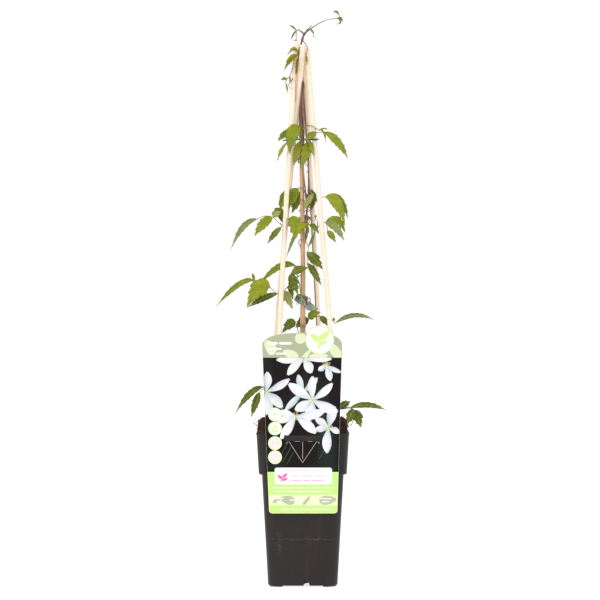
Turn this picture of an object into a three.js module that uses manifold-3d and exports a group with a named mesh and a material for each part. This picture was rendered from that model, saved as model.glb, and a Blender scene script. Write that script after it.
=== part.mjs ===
// A young clematis climber in a square nursery pot: root ball, four pale canes leaning together, a bamboo
// cane in the middle, twining stems with toothed leaflets, a wire tie, a band of film and a hanging label card.
// Millimetres. X points right, Y to the back and Z up. The origin is under the middle of the pot.
import * as THREE from 'three';
import { mergeVertices } from 'three/addons/utils/BufferGeometryUtils.js';
import Module from 'manifold-3d';

const wasm = await Module();
wasm.setup();

// Driving dimensions. A cut runs on past the face it opens by the overshoot.
const gap = 0.3;
const overshoot = 1;

const potSize = {
  height: 198,
  wall: 1.5,
  cornerRadius: 13,
  footHalf: 42.6,
  baseHalf: 44.8,
  bodyTopHalf: 52.6,
  collarBottomHalf: 56.7,
  rimHalf: 60,
  collarBottom: 146,
  collarStep: 2,
  lipHeight: 2.6,
  lipProud: 0.4,
  lipSlope: 0.6,
  footHeight: 3,
  floorUnderside: 7,
  floorThickness: 2,
  skirtLift: 1.5,
  footInnerEdge: 26,
  centreFootRadius: 3.4,
};

const notchSize = { centre: 4.8, bottomWidth: 9.6, topWidth: 5, height: 6.6 };
const drainHole = { radius: 5, offset: 22 };
const labelBar = { left: -24.1, right: 24.6, bottom: 188.3, top: 195.8, front: -62.4, back: -58.6 };

const soilSize = { proud: 16, edgeHalf: 55, jitter: 0.8, seed: 11 };

const caneRadius = 3.15;
const bambooRadius = { foot: 4.3, top: 2.3, node: 4.8, nodeHeight: 336, nodeReach: 13 };

const cardSize = {
  back: -60.5,
  thickness: 0.8,
  cornerRadius: 5,
  bottom: 95.8,
  bottomLeft: -43.3,
  bottomRight: 44.4,
  shoulder: 313,
  shoulderLeft: -52.1,
  shoulderRight: 50.4,
  crownLeft: [-31.8, 324.8],
  crownRight: [39.3, 323.6],
};
const badge = { x: 21.6, z: 317.8, radius: 18.6, left: [5.4, 327] };

const tieWire = { radius: 0.95, sides: 5, steps: 30 };
const film = {
  centre: [-1.2, 0.1, 367],
  radiusX: 9.6,
  radiusY: 8.4,
  thickness: 0.8,
  width: 12,
  tiltDegrees: 14,
  tail: [[-2, 371.5], [-2, 361], [17.5, 355.5], [19.6, 359.5], [10, 367.5]],
  tailFront: -6.9,
  tailTurnDegrees: -8,
};

const blade = {
  thickness: 0.7,
  rootSunk: 1.4,
  toothSpacing: 12,
  toothDepth: 0.22,
  fold: 0.28,
  ripple: 0.1,
  arch: 0.05,
  narrowestHalf: 0.45,
};
const stalkRadius = 0.65;

const colours = {
  pot: 0x2b2627,
  soil: 0x2a1a12,
  cane: 0xf6e6cb,
  bamboo: 0xc9a074,
  leaf: 0x7d9a35,
  tie: 0x3f8f68,
  film: 0x6a7c6c,
  card: 0xdfe9c4,
};

// Small helpers.
const vec = ([x, y, z]) => new THREE.Vector3(x, y, z);
const point = ([x, z]) => new THREE.Vector2(x, z);
const range = (count) => [...Array(count).keys()];

function seededRandom(seed) {
  let state = seed;
  return () => {
    state = (state * 1664525 + 1013904223) % 4294967296;
    return state / 4294967296;
  };
}

function solid(geometry) {
  const bare = geometry.clone();
  Object.keys(bare.attributes).forEach((name) => name !== 'position' && bare.deleteAttribute(name));
  const merged = mergeVertices(bare, 1e-4);
  return new wasm.Manifold(new wasm.Mesh({
    numProp: 3,
    vertProperties: new Float32Array(merged.attributes.position.array),
    triVerts: new Uint32Array(merged.index.array),
  }));
}

const largestBody = (manifold) => manifold.decompose().sort((a, b) => b.volume() - a.volume())[0];

function toGeometry(manifold) {
  const mesh = manifold.getMesh();
  const geometry = new THREE.BufferGeometry();
  geometry.setAttribute('position', new THREE.BufferAttribute(mesh.vertProperties, 3));
  geometry.setIndex(new THREE.BufferAttribute(mesh.triVerts, 1));
  geometry.computeVertexNormals();
  return geometry;
}

function box(low, high) {
  const size = vec(high).sub(vec(low));
  const centre = vec(high).add(vec(low)).multiplyScalar(0.5);
  return solid(new THREE.BoxGeometry(...size.toArray()).translate(...centre.toArray()));
}

function upright(radius, low, high, x, y, sides = 20) {
  const geometry = new THREE.CylinderGeometry(radius, radius, high - low, sides);
  return solid(geometry.rotateX(Math.PI / 2).translate(x, y, (low + high) / 2));
}

function skin(points, faces) {
  const geometry = new THREE.BufferGeometry();
  geometry.setAttribute('position', new THREE.Float32BufferAttribute(points.flatMap((p) => p.toArray()), 3));
  geometry.setIndex(faces);
  return geometry;
}

// Joins rings of equal length into one closed skin, with a fan over each end.
function loft(rings) {
  const count = rings[0].length;
  const points = rings.flat();
  const middle = (ring) => ring.reduce((sum, p) => sum.add(p), new THREE.Vector3()).divideScalar(count);
  points.push(middle(rings[0]), middle(rings[rings.length - 1]));
  const first = points.length - 2;
  const last = points.length - 1;
  const top = (rings.length - 1) * count;
  const faces = [];
  for (const i of range(count)) {
    const next = (i + 1) % count;
    faces.push(first, next, i, last, top + i, top + next);
    for (const level of range(rings.length - 1)) {
      const low = level * count;
      const high = low + count;
      faces.push(low + i, low + next, high + next, low + i, high + next, high + i);
    }
  }
  return skin(points, faces);
}

function roundedSquare(half, radius, z, segments = 4) {
  return [0, 1, 2, 3].flatMap((corner) => range(segments + 1).map((step) => {
    const angle = (corner + step / segments) * Math.PI / 2;
    const turn = corner * Math.PI / 2 + Math.PI / 4;
    const reach = (half - radius) * Math.SQRT2;
    return vec([
      Math.cos(turn) * reach + Math.cos(angle) * radius,
      Math.sin(turn) * reach + Math.sin(angle) * radius,
      z,
    ]);
  }));
}

// A round rod along a curve through the given points, whose radius may change on the way.
function rod(points, radiusAt, sides, steps) {
  const curve = new THREE.CatmullRomCurve3(points.map(vec), false, 'centripetal');
  const frames = curve.computeFrenetFrames(steps, false);
  const rings = range(steps + 1).map((step) => {
    const centre = curve.getPointAt(step / steps);
    const radius = radiusAt(step / steps, centre.z);
    return range(sides).map((side) => {
      const angle = (side / sides) * Math.PI * 2;
      return centre.clone()
        .addScaledVector(frames.normals[step], Math.cos(angle) * radius)
        .addScaledVector(frames.binormals[step], Math.sin(angle) * radius);
    });
  });
  return solid(loft(rings));
}

// The pot: a tapered square shell with a stepped collar, a raised floor and four corner feet.
function makePot() {
  const p = potSize;
  const lipZ = p.height - p.lipHeight;
  const stepZ = p.collarBottom - p.collarStep;
  const floorTop = p.floorUnderside + p.floorThickness;
  const outer = loft([
    [0, p.footHalf], [p.footHeight, p.baseHalf], [stepZ, p.bodyTopHalf], [p.collarBottom, p.collarBottomHalf],
    [lipZ, p.rimHalf - p.lipProud], [lipZ + p.lipSlope, p.rimHalf], [p.height, p.rimHalf],
  ].map(([z, half]) => roundedSquare(half, p.cornerRadius, z)));
  const hollow = loft([
    [floorTop, p.baseHalf], [stepZ + p.wall / 2, p.bodyTopHalf],
    [p.collarBottom + p.wall / 2, p.collarBottomHalf], [p.height + overshoot, p.rimHalf - p.lipProud],
  ].map(([z, half]) => roundedSquare(half - p.wall, p.cornerRadius - p.wall, z)));
  const long = p.footHalf - p.wall;
  const short = p.footInnerEdge;
  const wide = p.rimHalf;
  const notch = new THREE.Shape([
    [-notchSize.bottomWidth / 2, -overshoot], [notchSize.bottomWidth / 2, -overshoot],
    [notchSize.topWidth / 2, notchSize.height], [-notchSize.topWidth / 2, notchSize.height],
  ].map(point));
  const channel = new THREE.ExtrudeGeometry(notch, { depth: wide * 2, bevelEnabled: false });
  channel.rotateX(Math.PI / 2).translate(0, wide, 0);
  const holes = [-1, 1].flatMap((sx) => [-1, 1].map((sy) => upright(
    drainHole.radius, p.floorUnderside - overshoot, floorTop + overshoot,
    sx * drainHole.offset, sy * drainHole.offset)));
  const cuts = [
    solid(hollow),
    box([-long, -short, -overshoot], [long, short, p.floorUnderside]),
    box([-short, -long, -overshoot], [short, long, p.floorUnderside]),
    box([-wide, -short, -overshoot], [wide, short, p.skirtLift]),
    box([-short, -wide, -overshoot], [short, wide, p.skirtLift]),
    solid(channel.clone().translate(notchSize.centre, 0, 0)),
    solid(channel.clone().rotateZ(Math.PI / 2)),
    ...holes,
  ];
  const { left, right, bottom, top, front, back } = labelBar;
  const bar = box([left, front, bottom], [right, back, top]);
  const centreFoot = upright(p.centreFootRadius, 0, p.floorUnderside + p.floorThickness / 2, 0, 0, 12);
  return solid(outer).subtract(wasm.Manifold.union(cuts)).add(bar).add(centreFoot);
}

// The canes: four pale ones from the corners of the pot, and a bamboo one in the middle.
const caneRoutes = {
  cane_front_left: [[-39.5, -42, 110], [-30.1, -27, 326.4], [-21.3, -14.8, 498.5], [-8.1, 0, 703.8]],
  cane_front_right: [
    [44, -40, 110], [43.2, -36.2, 216], [34.6, -25.5, 343], [20, -12.8, 518], [5.5, 0.5, 695.5],
  ],
  cane_back_left: [[-43.5, 40.5, 110], [-34.4, 27.5, 326], [-17, 12.6, 519], [0.3, -4, 700]],
  cane_back_right: [[33, 43, 110], [20.2, 29, 343], [10.8, 17.3, 519], [-0.5, 4.2, 697]],
};
const bambooRoute = [
  [0, 0, 110], [0.1, 0, 369], [0.2, 0, 434], [-1.4, 0.1, 535], [-1.6, -0.3, 612], [-0.4, -1, 639],
];

const makeCane = (route, extra = 0) => rod(route, () => caneRadius + extra, 9, 9);

function makeBamboo(route, extra = 0) {
  const { foot, top, node, nodeHeight, nodeReach } = bambooRadius;
  return rod(route, (t, z) => {
    const plain = foot + (top - foot) * t;
    const swelling = Math.max(0, 1 - Math.abs(z - nodeHeight) / nodeReach);
    return plain + (node - foot) * swelling + extra;
  }, 7, 18);
}

// Stems, as hand-placed routes: they twine up round the bamboo cane.
const stemRoutes = {
  main: [
    [7, 3, 188], [6.6, 2, 222], [5.8, -1, 243], [2.6, -5.4, 262], [-2.8, -5.4, 280], [-5.8, -0.6, 297],
    [-3.4, 5, 313], [-2.1, 5.5, 330], [-2, 4.9, 350], [-1.8, 4.7, 372], [-0.6, 5, 405], [0.8, 4.6, 421],
    [2, 4.7, 438], [5.5, 0.4, 470], [4.4, -3.1, 499],
    [1, -5.2, 536], [1.2, -5, 570], [1.2, -5, 596], [0.6, -5.3, 612], [0, -5.6, 626], [0.5, -5, 638],
    [1.6, -1.8, 646], [1.2, 1.8, 650.5], [-0.9, 3.7, 656], [-3.9, 5.2, 661], [-6, 3.2, 667], [-5.3, 1.7, 691],
    [-3, 0.7, 699], [-0.5, 0, 708], [2.3, 0, 715], [10.7, -1, 721.7], [22.2, -2, 729.1], [32.2, -2, 733.3],
    [45.5, -3, 735],
  ],
  second: [
    [-5, 7, 188], [-3.5, 6.6, 222], [0.5, 6.3, 243], [3.4, 5.4, 272], [2.4, 5.8, 308], [2.1, 5.9, 338],
    [1.9, 4.9, 361], [2.3, 4.6, 378], [5.4, 4.9, 399], [3.2, 7.8, 419], [-2.2, 6, 438],
    [3, 5.6, 470], [6.9, 1.2, 497], [7.3, -1.2, 520], [7.2, -2, 548], [8.2, -4.5, 566], [9, -6, 575.5],
  ],
};
const stemRadius = { main: [1.3, 0.75], second: [1.2, 0.8] };

// Stalks are lists of points. Leaflets are base, a point that the rib passes over half way (or null for a
// slight arch), tip, width and the side the face turns to.
const mainStalks = [
  [[1.4, -4.9, 592], [-1.7, -6.5, 595.5], [-6, -9.5, 594.5], [-11, -13.5, 593], [-16.6, -17, 592.6],
    [-20, -17.6, 584.5], [-21, -18, 572.6]],
  [[1.6, -4.8, 585], [-1.2, -7, 580], [-3.1, -8, 575.3], [-5, -6.5, 571]],
  [[1.5, -4.9, 595], [4.5, -9, 597], [10, -15, 597], [15, -17.5, 594.5], [18.1, -17, 586],
    [28.1, -15, 586.8]],
  [[15, -17.5, 594.5], [19, -17.5, 592], [22.4, -17.5, 590]],
  [[4, -3.6, 505], [1, -6.2, 512], [-3, -6, 515], [-5.5, -2, 514]],
  [[-5.3, 1.7, 690], [-4.8, -2.2, 691], [-6, -5, 690], [-7, -7.5, 684]],
  [[-6.4, -6, 688.5], [-10, -8.6, 683], [-13.4, -8.6, 671], [-16.8, -8, 659.5], [-20.5, -8, 656],
    [-22, -8, 651]],
  [[5.4, 0.6, 468], [4.6, -5, 472], [0, -8, 470], [-8, -8, 467], [-16, -8.5, 465], [-23.8, -12.4, 466],
    [-31, -18, 469], [-39.1, -20.5, 476], [-50, -22, 477.5], [-59, -22, 473.7]],
  [[-29, -16.5, 468], [-28, -20, 466], [-27.6, -22.5, 463.6]],
  [[-2, -8, 469.5], [-3.4, -10, 469]],
  [[-1, 5.2, 402], [-6.5, 5.5, 399], [-12, 1, 394], [-18, -5, 388], [-25, -10.5, 381], [-32.5, -14, 377.5],
    [-42.4, -15.5, 385], [-52, -15.5, 392], [-62.4, -14, 394.9]],
  [[-6.5, 5.5, 399], [-9.3, 3.6, 406], [-9, 1.2, 413]],
  [[-12, 1, 394], [-14, -4, 398], [-14.7, -8.5, 404]],
  [[2.3, 0, 714.5], [-2, -0.5, 718.5], [-8.5, -1.3, 719.4]],
  [[-8.5, -1.3, 719.4], [-8.6, -3, 712], [-8.2, -4.6, 705.2]],
  [[2.3, 0, 714.5], [5, 1, 720], [9, 2, 723]],
  [[-0.5, 0, 707.5], [1.6, -2, 704], [5.6, -6.6, 698.5], [6.2, -8.2, 695], [4.9, -7.8, 687.5]],
  [[45.5, -3, 735], [48, -3.2, 737], [47, -3.2, 739]],
  [[-2.4, 5.6, 321], [-6, 2.5, 328], [-7.6, -4, 336], [-9.2, -9.2, 340.4]],
];

const mainLeaflets = [
  [[-1.7, -6.5, 595.5], [-13.5, -18.5, 588], [-16.5, -21, 560.5], 19, 'front'],
  [[-16.6, -17, 592.6], null, [-32.5, -12, 578], 8.5, 'front'],
  [[-20, -17.6, 584.5], null, [-31.2, -18.5, 575], 5.5, 'up'],
  [[-21, -18, 572.6], null, [-33, -22, 549.4], 8, 'left'],
  [[-3.1, -8, 575.3], [-7.8, -11.8, 560], [-12, -13, 541.5], 11, 'front'],
  [[-5, -6.5, 571], null, [-8.2, -5.2, 556.2], 5, 'front'],
  [[22.4, -17.5, 590], [27.5, -17.5, 584], [29.6, -16.5, 573.4], 5.4, 'right'],
  [[22.4, -17.5, 590], null, [33.4, -18, 590], 4.5, 'up'],
  [[28.1, -15, 586.8], [45, -10, 574], [58.8, -2, 552.7], 12, 'front'],
  [[18.1, -17, 586], null, [3.4, -18, 576.2], 9.5, 'front'],
  [[-5.5, -2, 514], [-15.5, 0, 501], [-25.6, 3, 481], 17, 'front'],
  [[-7, -7.5, 684], null, [-9, -9, 655], 5, 'front'],
  [[-6.4, -6, 688.5], [-11.5, -8.5, 693.5], [-20, -8, 687], 7.5, 'up'],
  [[-7, -7.4, 686], [-15, -10, 680.5], [-24.3, -11, 667], 11, 'front'],
  [[-20.5, -8, 656], null, [-28.6, -9.5, 654.5], 5, 'front'],
  [[-16.8, -8, 659.5], null, [-16.2, -8.6, 649], 3.2, 'front'],
  [[-22, -8, 651], null, [-19.2, -9, 637], 2.8, 'front'],
  [[-59, -22, 473.7], [-77, -28, 463], [-92.7, -38, 434], 8.5, 'front'],
  [[-39.1, -20.5, 476], [-51, -26, 467], [-62.4, -34, 451.2], 14, 'front'],
  [[-39.1, -20.5, 476], null, [-28.3, -21, 483.5], 9, 'front'],
  [[-27.6, -22.5, 463.6], null, [-45.8, -27, 441.5], 8.5, 'front'],
  [[-3.4, -10, 469], [-7, -21, 466], [-10.9, -31, 447], 27, 'front'],
  [[-3.4, -9, 467], null, [-21.7, -13, 423.1], 5, 'front'],
  [[-1, -8.2, 470], [6, -10, 462], [4, -9.6, 445.7], 6, 'right'],
  [[-9, 1.2, 413], null, [-10.5, 7.5, 404], 5, 'front'],
  [[-9, 1.2, 413], [-31.5, -2, 411.5], [-59, -8, 386.5], 10, 'front'],
  [[-62.4, -14, 394.9], [-85.5, -4, 387.5], [-113.8, 16, 359.5], 8.5, 'front'],
  [[-42.4, -15.5, 386], [-57, -21, 383], [-72.3, -28, 360], 25, 'front'],
  [[-32.5, -14, 377.5], null, [-72.3, -6, 359], 9.5, 'front'],
  [[-25, -10.5, 381], [-20, -17, 372], [-12.9, -23, 357], 13, 'front'],
  [[-18, -5, 388], null, [-12.5, -13, 369], 7, 'front'],
  [[-14.7, -8.5, 403], [-5, -12, 408], [7, -14, 411], 12, 'front'],
  [[-14.7, -8.5, 404], [-12, -12, 391], [-5.7, -13.5, 376], 13.5, 'front'],
  [[-18, -5, 388], [-17, -12, 384], [-9.2, -14.5, 386], 4.5, 'front'],
  [[-62.4, -14, 394.9], null, [-66, -12, 404], 4, 'front'],
  [[45.5, -3, 735], null, [52, -3, 731], 6.5, 'up'],
  [[47, -3.2, 739], [43, -4, 743], [39.7, -5, 741.5], 3.5, 'up'],
  [[45.5, -3, 735], [49, -5, 729], [43.4, -7, 727], 3.5, 'front'],
  [[10.7, -1, 721.2], null, [15.6, -3, 712], 4, 'right'],
  [[9, 2, 723], null, [13, 2.5, 728], 3.5, 'front'],
  [[-8.5, -1.3, 719.4], null, [-17.6, -2, 726.1], 5.5, 'front'],
  [[-8.5, -1.3, 719.4], null, [-15.9, -4.5, 706], 5, 'front'],
  [[4.9, -7.8, 687.5], null, [5.6, -8.4, 673], 3.5, 'front'],
  [[-9.2, -9.2, 340.4], [-17, -14, 337], [-26.5, -20, 326.5], 14, 'front'],
];

const secondStalks = [
  [[7, 0.2, 505], [9, 3.5, 511], [12.1, 5, 512.5]],
  [[6.8, 1, 500], [4.4, 6.4, 508], [0.3, 7, 511]],
  [[7.2, -0.6, 512], [10, -5, 509], [13.6, -8, 506]],
  [[5.4, 3.4, 484], [9.5, 0, 485], [13, -4, 488.5], [18.5, -7.4, 498], [24, -8.2, 502.5], [29.6, -8.4, 502.5]],
  [[29.6, -8.4, 502.5], [32.5, -6, 505.5], [35.4, -3, 506.8]],
  [[3.4, 5.4, 471], [8.5, 3, 467], [14, -3, 464], [19.5, -9, 464], [24, -11.4, 467], [29.2, -13.6, 469.5],
    [31.6, -16, 463], [31.8, -17.4, 459]],
  [[19.5, -9, 464], [19, -8, 470], [16.4, -6.5, 475]],
  [[2, 5.9, 462], [8, 8.2, 470], [10.7, 8.4, 476.5]],
  [[-2.2, 6, 438], [-4.8, 3.4, 441.5], [-5.2, -0.6, 445], [-3.4, -3.6, 447.6], [0.2, -4.4, 447.4],
    [3.6, -3.6, 446.2], [5.2, -3.2, 443], [6.8, -4.2, 439.2], [7.7, -5.2, 435.6], [6.4, -6.6, 432],
    [5.2, -7, 430.5]],
  [[6.6, -6.4, 432.5], [6.5, -6.8, 424], [6, -7.4, 417.2]],
  [[2, 5.7, 346.5], [5.6, 3.6, 345.5], [7.4, -1.6, 345], [13, -7.5, 346], [22.2, -10.5, 348.2],
    [31, -12, 344.5], [40.2, -12.6, 341.5], [42.1, -12.6, 339]],
  [[2.2, 5.9, 338.5], [5.4, 7.6, 342], [8.6, 7.6, 345]],
];

const secondLeaflets = [
  [[9, -6, 575.5], [5, -15, 561], [-3.1, -17.5, 539.5], 15, 'front'],
  [[9, -6, 575.5], [10.6, -14.6, 568], [14, -17.4, 555], 6.5, 'front'],
  [[0.3, 7, 511], null, [-14.5, 9, 481.3], 12.5, 'front'],
  [[13.6, -8, 506], [7, -12.5, 497], [-1.8, -11.5, 481], 8.5, 'front'],
  [[12.1, 5, 512.5], null, [11, 8, 485], 14, 'front'],
  [[29.6, -8.4, 502.5], [44, -10.5, 495], [54.6, -15, 466], 17, 'front'],
  [[35.4, -3, 506.8], [50, 3, 497], [59, 14, 474.4], 9.5, 'front'],
  [[10.7, 8.4, 476.5], null, [-11.7, 12, 467.8], 11, 'front'],
  [[8.5, 3, 467], [15, -8, 463.5], [21, -12, 454.5], 8, 'front'],
  [[29.2, -13.6, 469.5], [45, -10, 472], [55, -2, 456], 11.5, 'front'],
  [[29.2, -13.6, 469.5], [42, -19, 463], [53.7, -25, 445], 12, 'front'],
  [[31.8, -17.4, 459], null, [42.5, -22, 443.5], 9, 'front'],
  [[16.4, -6.5, 475], null, [16.8, -6.6, 480], 3.6, 'front'],
  [[7, -4.4, 438.6], [12.8, -5.6, 447.5], [15.6, -8, 459], 7.8, 'left'],
  [[5.2, -7, 430.5], [15.5, -11, 421.5], [26, -13, 408.5], 14.5, 'front'],
  [[6, -7.4, 417.2], [15, -9.5, 404], [24.3, -11, 388], 10, 'front'],
  [[7.2, -2.6, 345], [13.5, -9, 350], [23, -15, 353], 13, 'front'],
  [[22.2, -10.5, 348.2], null, [33, -17, 335], 9, 'front'],
  [[40.2, -12.6, 341.5], null, [40, -12.6, 346.5], 3.6, 'front'],
  [[42.1, -12.6, 339], [67, -20, 349], [92.7, -33, 343], 7.5, 'front'],
  [[8.6, 7.6, 345], null, [-9.5, 12.5, 333], 14, 'front'],
];

const shootRadius = [1.1, 0.8];

const leftShoot = {
  stem: [[-31, -19, 190], [-31.5, -20, 218], [-37, -22, 240], [-45, -25, 253], [-51.6, -27, 256.8]],
  stalks: [[[-47.5, -26, 254.8], [-52, -28, 253.5], [-55.6, -30, 250.2]]],
  leaflets: [
    [[-51.6, -27, 256.8], [-69, -31, 247], [-87.5, -38, 222], 9.5, 'front'],
    [[-55.6, -30, 250.2], null, [-66.4, -36, 217.8], 10.5, 'front'],
    [[-43, -24.2, 250.6], null, [-45, -12, 268], 8, 'front'],
  ],
};

const rightShoot = {
  stem: [
    [33, -40, 190], [34.5, -41, 218], [42, -43.5, 230], [49.7, -44.5, 229], [60.3, -48, 230.5],
    [65.4, -50, 228],
  ],
  stalks: [],
  leaflets: [
    [[47, -44.5, 229.5], null, [61.5, -40, 238.5], 10.5, 'front'],
    [[60.3, -48, 230.5], [84, -51, 234], [107.6, -56, 227.5], 9, 'front'],
    [[65.4, -50, 228], null, [74.8, -60, 205.5], 14.5, 'front'],
    [[65.4, -50, 228], [61, -60, 221], [56.5, -65.5, 208.6], 11.5, 'front'],
  ],
};

const facings = {
  front: [0, -1, 0.35],
  up: [0, -0.55, 0.85],
  left: [-0.8, -0.6, 0.3],
  right: [0.8, -0.6, 0.3],
};

// Widest a little before the middle and drawn out to the tip.
const bladeOutline = (t) => Math.sin(Math.PI * t ** 0.78) ** 0.9;

// One toothed leaflet, as a thin closed slab of left edge, rib and right edge on two faces.
function makeLeaflet([base, over, tip, width, facing]) {
  const start = vec(base);
  const end = vec(tip);
  const length = start.distanceTo(end);
  const middle = start.clone().lerp(end, 0.5);
  const slightArch = vec([0, -blade.arch / 2, blade.arch]).multiplyScalar(length);
  const passed = over ? vec(over) : middle.clone().add(slightArch);
  const control = passed.multiplyScalar(2).sub(middle);
  const rib = new THREE.QuadraticBezierCurve3(start, control, end);
  const stations = 2 * Math.min(5, Math.max(2, Math.round(length / blade.toothSpacing))) + 1;
  const toothForward = length / stations / 2.5;
  const points = [];
  for (const i of range(stations)) {
    const t = i / (stations - 1);
    const along = rib.getTangent(t);
    const up = vec(facings[facing]).projectOnPlane(along).normalize();
    const side = along.clone().cross(up);
    const spine = rib.getPoint(t).addScaledVector(along, i === 0 ? -blade.rootSunk : 0);
    const isTooth = i % 2 === 1 && i < stations - 1;
    const share = isTooth ? 1 : 1 - blade.toothDepth;
    const half = Math.max(blade.narrowestHalf, width / 2 * bladeOutline(t) * share);
    const reach = isTooth ? toothForward : 0;
    for (const offset of [blade.thickness / 2, -blade.thickness / 2]) {
      for (const across of [-1, 0, 1]) {
        const lift = Math.abs(across) * half * (blade.fold + across * blade.ripple * Math.sin(i * 1.7));
        points.push(spine.clone().addScaledVector(side, across * half)
          .addScaledVector(up, lift + offset).addScaledVector(along, Math.abs(across) * reach));
      }
    }
  }
  return solid(skin(points, bladeFaces(stations)));
}

// Both faces of a leaflet are cut into triangles the same way: each diagonal runs from an edge to the rib.
function bladeFaces(stations) {
  const faces = [];
  for (const i of range(stations - 1)) {
    const [l, c, r, dl, dc, dr] = range(6).map((k) => i * 6 + k);
    const [l2, c2, r2, dl2, dc2, dr2] = range(6).map((k) => i * 6 + 6 + k);
    faces.push(l, c, c2, l, c2, l2, c, r, c2, r, r2, c2);
    faces.push(dl, dc2, dc, dl, dl2, dc2, dc, dc2, dr, dr, dc2, dr2);
    faces.push(l, l2, dl2, l, dl2, dl, r, dr, dr2, r, dr2, r2);
  }
  const e = (stations - 1) * 6;
  faces.push(0, 3, 4, 0, 4, 1, 1, 4, 5, 1, 5, 2);
  faces.push(e, e + 4, e + 3, e, e + 1, e + 4, e + 1, e + 5, e + 4, e + 1, e + 2, e + 5);
  return faces;
}

function makeLeafyStem(stem, [footRadius, tipRadius], stalks, leaflets) {
  const curve = new THREE.CatmullRomCurve3(stem.map(vec), false, 'centripetal');
  const steps = Math.round(curve.getLength() / 13) + 4;
  const pieces = [rod(stem, (t) => footRadius + (tipRadius - footRadius) * t, 5, steps)];
  for (const stalk of stalks) {
    const stalkSteps = Math.round(1.2 * (stalk.length - 1)) + 1;
    pieces.push(rod(stalk, () => stalkRadius, 4, stalkSteps));
  }
  for (const leaflet of leaflets) pieces.push(makeLeaflet(leaflet));
  return largestBody(wasm.Manifold.union(pieces).simplify(0.1));
}

// The root ball fills the pot and stands proud of its rim. Its top is rough, with a plain hole for each cane
// and stem.
function makeSoil(holes) {
  const random = seededRandom(soilSize.seed);
  const p = potSize;
  const inside = p.wall + 2 * gap;
  const top = p.height + soilSize.proud;
  const smooth = [
    [p.floorUnderside + p.floorThickness + gap, p.baseHalf - inside], [p.collarBottom, p.bodyTopHalf - inside],
    [p.collarBottom + 2.5, p.collarBottomHalf - inside], [p.height - 1, p.rimHalf - p.lipProud - inside],
  ];
  const rough = [
    [p.height + 5, 57.6], [p.height + 10, 57.2], [top - 2.5, 56.6], [top - 0.6, soilSize.edgeHalf],
    [top + 0.4, 42], [top, 30], [top + 0.8, 18], [top + 0.2, 8],
  ];
  const rings = smooth.map(([z, half]) => roundedSquare(half, p.cornerRadius - inside, z, 3));
  for (const [z, half] of rough) {
    const radius = Math.min(p.cornerRadius - inside, half * 0.8);
    rings.push(roundedSquare(half, radius, z, 3).map(({ x, y }) => {
      const shrink = 1 - random() * soilSize.jitter / half;
      return vec([x * shrink, y * shrink, z + (random() - 0.5) * 2 * soilSize.jitter]);
    }));
  }
  return solid(loft(rings)).subtract(wasm.Manifold.union(holes));
}

// The wire goes once round the four canes, and its two ends cross in front.
const tieRoute = [
  [-25.5, -12.5, 575.5], [-21, -14.2, 576.2], [-16, -14.9, 576.8], [0, -15, 577], [14, -14.6, 577],
  [19, -12.4, 577.2], [20, -8.5, 577.4], [16.6, 4, 577.8], [12.2, 14, 578.2], [7.4, 18.1, 578.5],
  [1.5, 17.2, 578.8], [-13, 12.8, 579.2], [-16.6, 8, 579.4], [-20.6, -6, 579.6], [-21.4, -10.5, 579.7],
  [-18.6, -14.2, 579.6], [-12, -15.2, 579.4], [-6, -15.6, 579.6],
];

const makeTie = () => rod(tieRoute, () => tieWire.radius, tieWire.sides, tieWire.steps);

function makeFilm() {
  const sleeve = (outset, width) => solid(new THREE.CylinderGeometry(1, 1, width, 20)
    .rotateX(Math.PI / 2).scale(film.radiusX + outset, film.radiusY + outset, 1)
    .rotateY(THREE.MathUtils.degToRad(film.tiltDegrees)).translate(...film.centre));
  const tail = new THREE.Shape(film.tail.map(point));
  const strip = new THREE.ExtrudeGeometry(tail, { depth: film.thickness, bevelEnabled: false });
  const turn = THREE.MathUtils.degToRad(film.tailTurnDegrees);
  strip.rotateX(Math.PI / 2).rotateZ(turn).translate(0, film.tailFront, 0);
  return sleeve(0, film.width).add(solid(strip)).subtract(sleeve(-film.thickness, 4 * film.width));
}

// The label card hangs in front of the collar on the bar, which passes through its window.
function makeCard() {
  const { bottom, bottomLeft, bottomRight, shoulder, shoulderLeft, shoulderRight } = cardSize;
  const { cornerRadius: r, crownLeft, crownRight } = cardSize;
  const outline = new THREE.Shape();
  outline.moveTo(bottomLeft + r, bottom);
  outline.lineTo(bottomRight - r, bottom);
  outline.quadraticCurveTo(bottomRight, bottom, bottomRight, bottom + r);
  outline.lineTo(shoulderRight, shoulder);
  outline.quadraticCurveTo(shoulderRight - 1.9, shoulder + 7, ...crownRight);
  const angleTo = ([x, z]) => Math.atan2(z - badge.z, x - badge.x);
  const from = angleTo(crownRight);
  const to = angleTo(badge.left);
  for (const i of range(11)) {
    const angle = from + (to - from) * (i / 10);
    outline.lineTo(badge.x + Math.cos(angle) * badge.radius, badge.z + Math.sin(angle) * badge.radius);
  }
  outline.quadraticCurveTo(-16, badge.left[1] + 0.5, ...crownLeft);
  outline.quadraticCurveTo(shoulderLeft + 4.1, shoulder + 9, shoulderLeft, shoulder);
  outline.lineTo(bottomLeft, bottom + r);
  outline.quadraticCurveTo(bottomLeft, bottom, bottomLeft + r, bottom);
  const left = labelBar.left - gap;
  const right = labelBar.right + gap;
  const low = labelBar.bottom - gap;
  const high = labelBar.top + gap;
  outline.holes.push(new THREE.Path([[left, low], [left, high], [right, high], [right, low]].map(point)));
  const flat = { depth: cardSize.thickness, bevelEnabled: false, curveSegments: 5 };
  const card = new THREE.ExtrudeGeometry(outline, flat);
  return solid(card.rotateX(Math.PI / 2).translate(0, cardSize.back, 0));
}

const plant = new THREE.Group();

function addPiece(name, manifold, color, roughness) {
  const material = new THREE.MeshStandardMaterial({ color, roughness, metalness: 0 });
  const mesh = new THREE.Mesh(toGeometry(manifold), material);
  mesh.name = name;
  plant.add(mesh);
}

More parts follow.
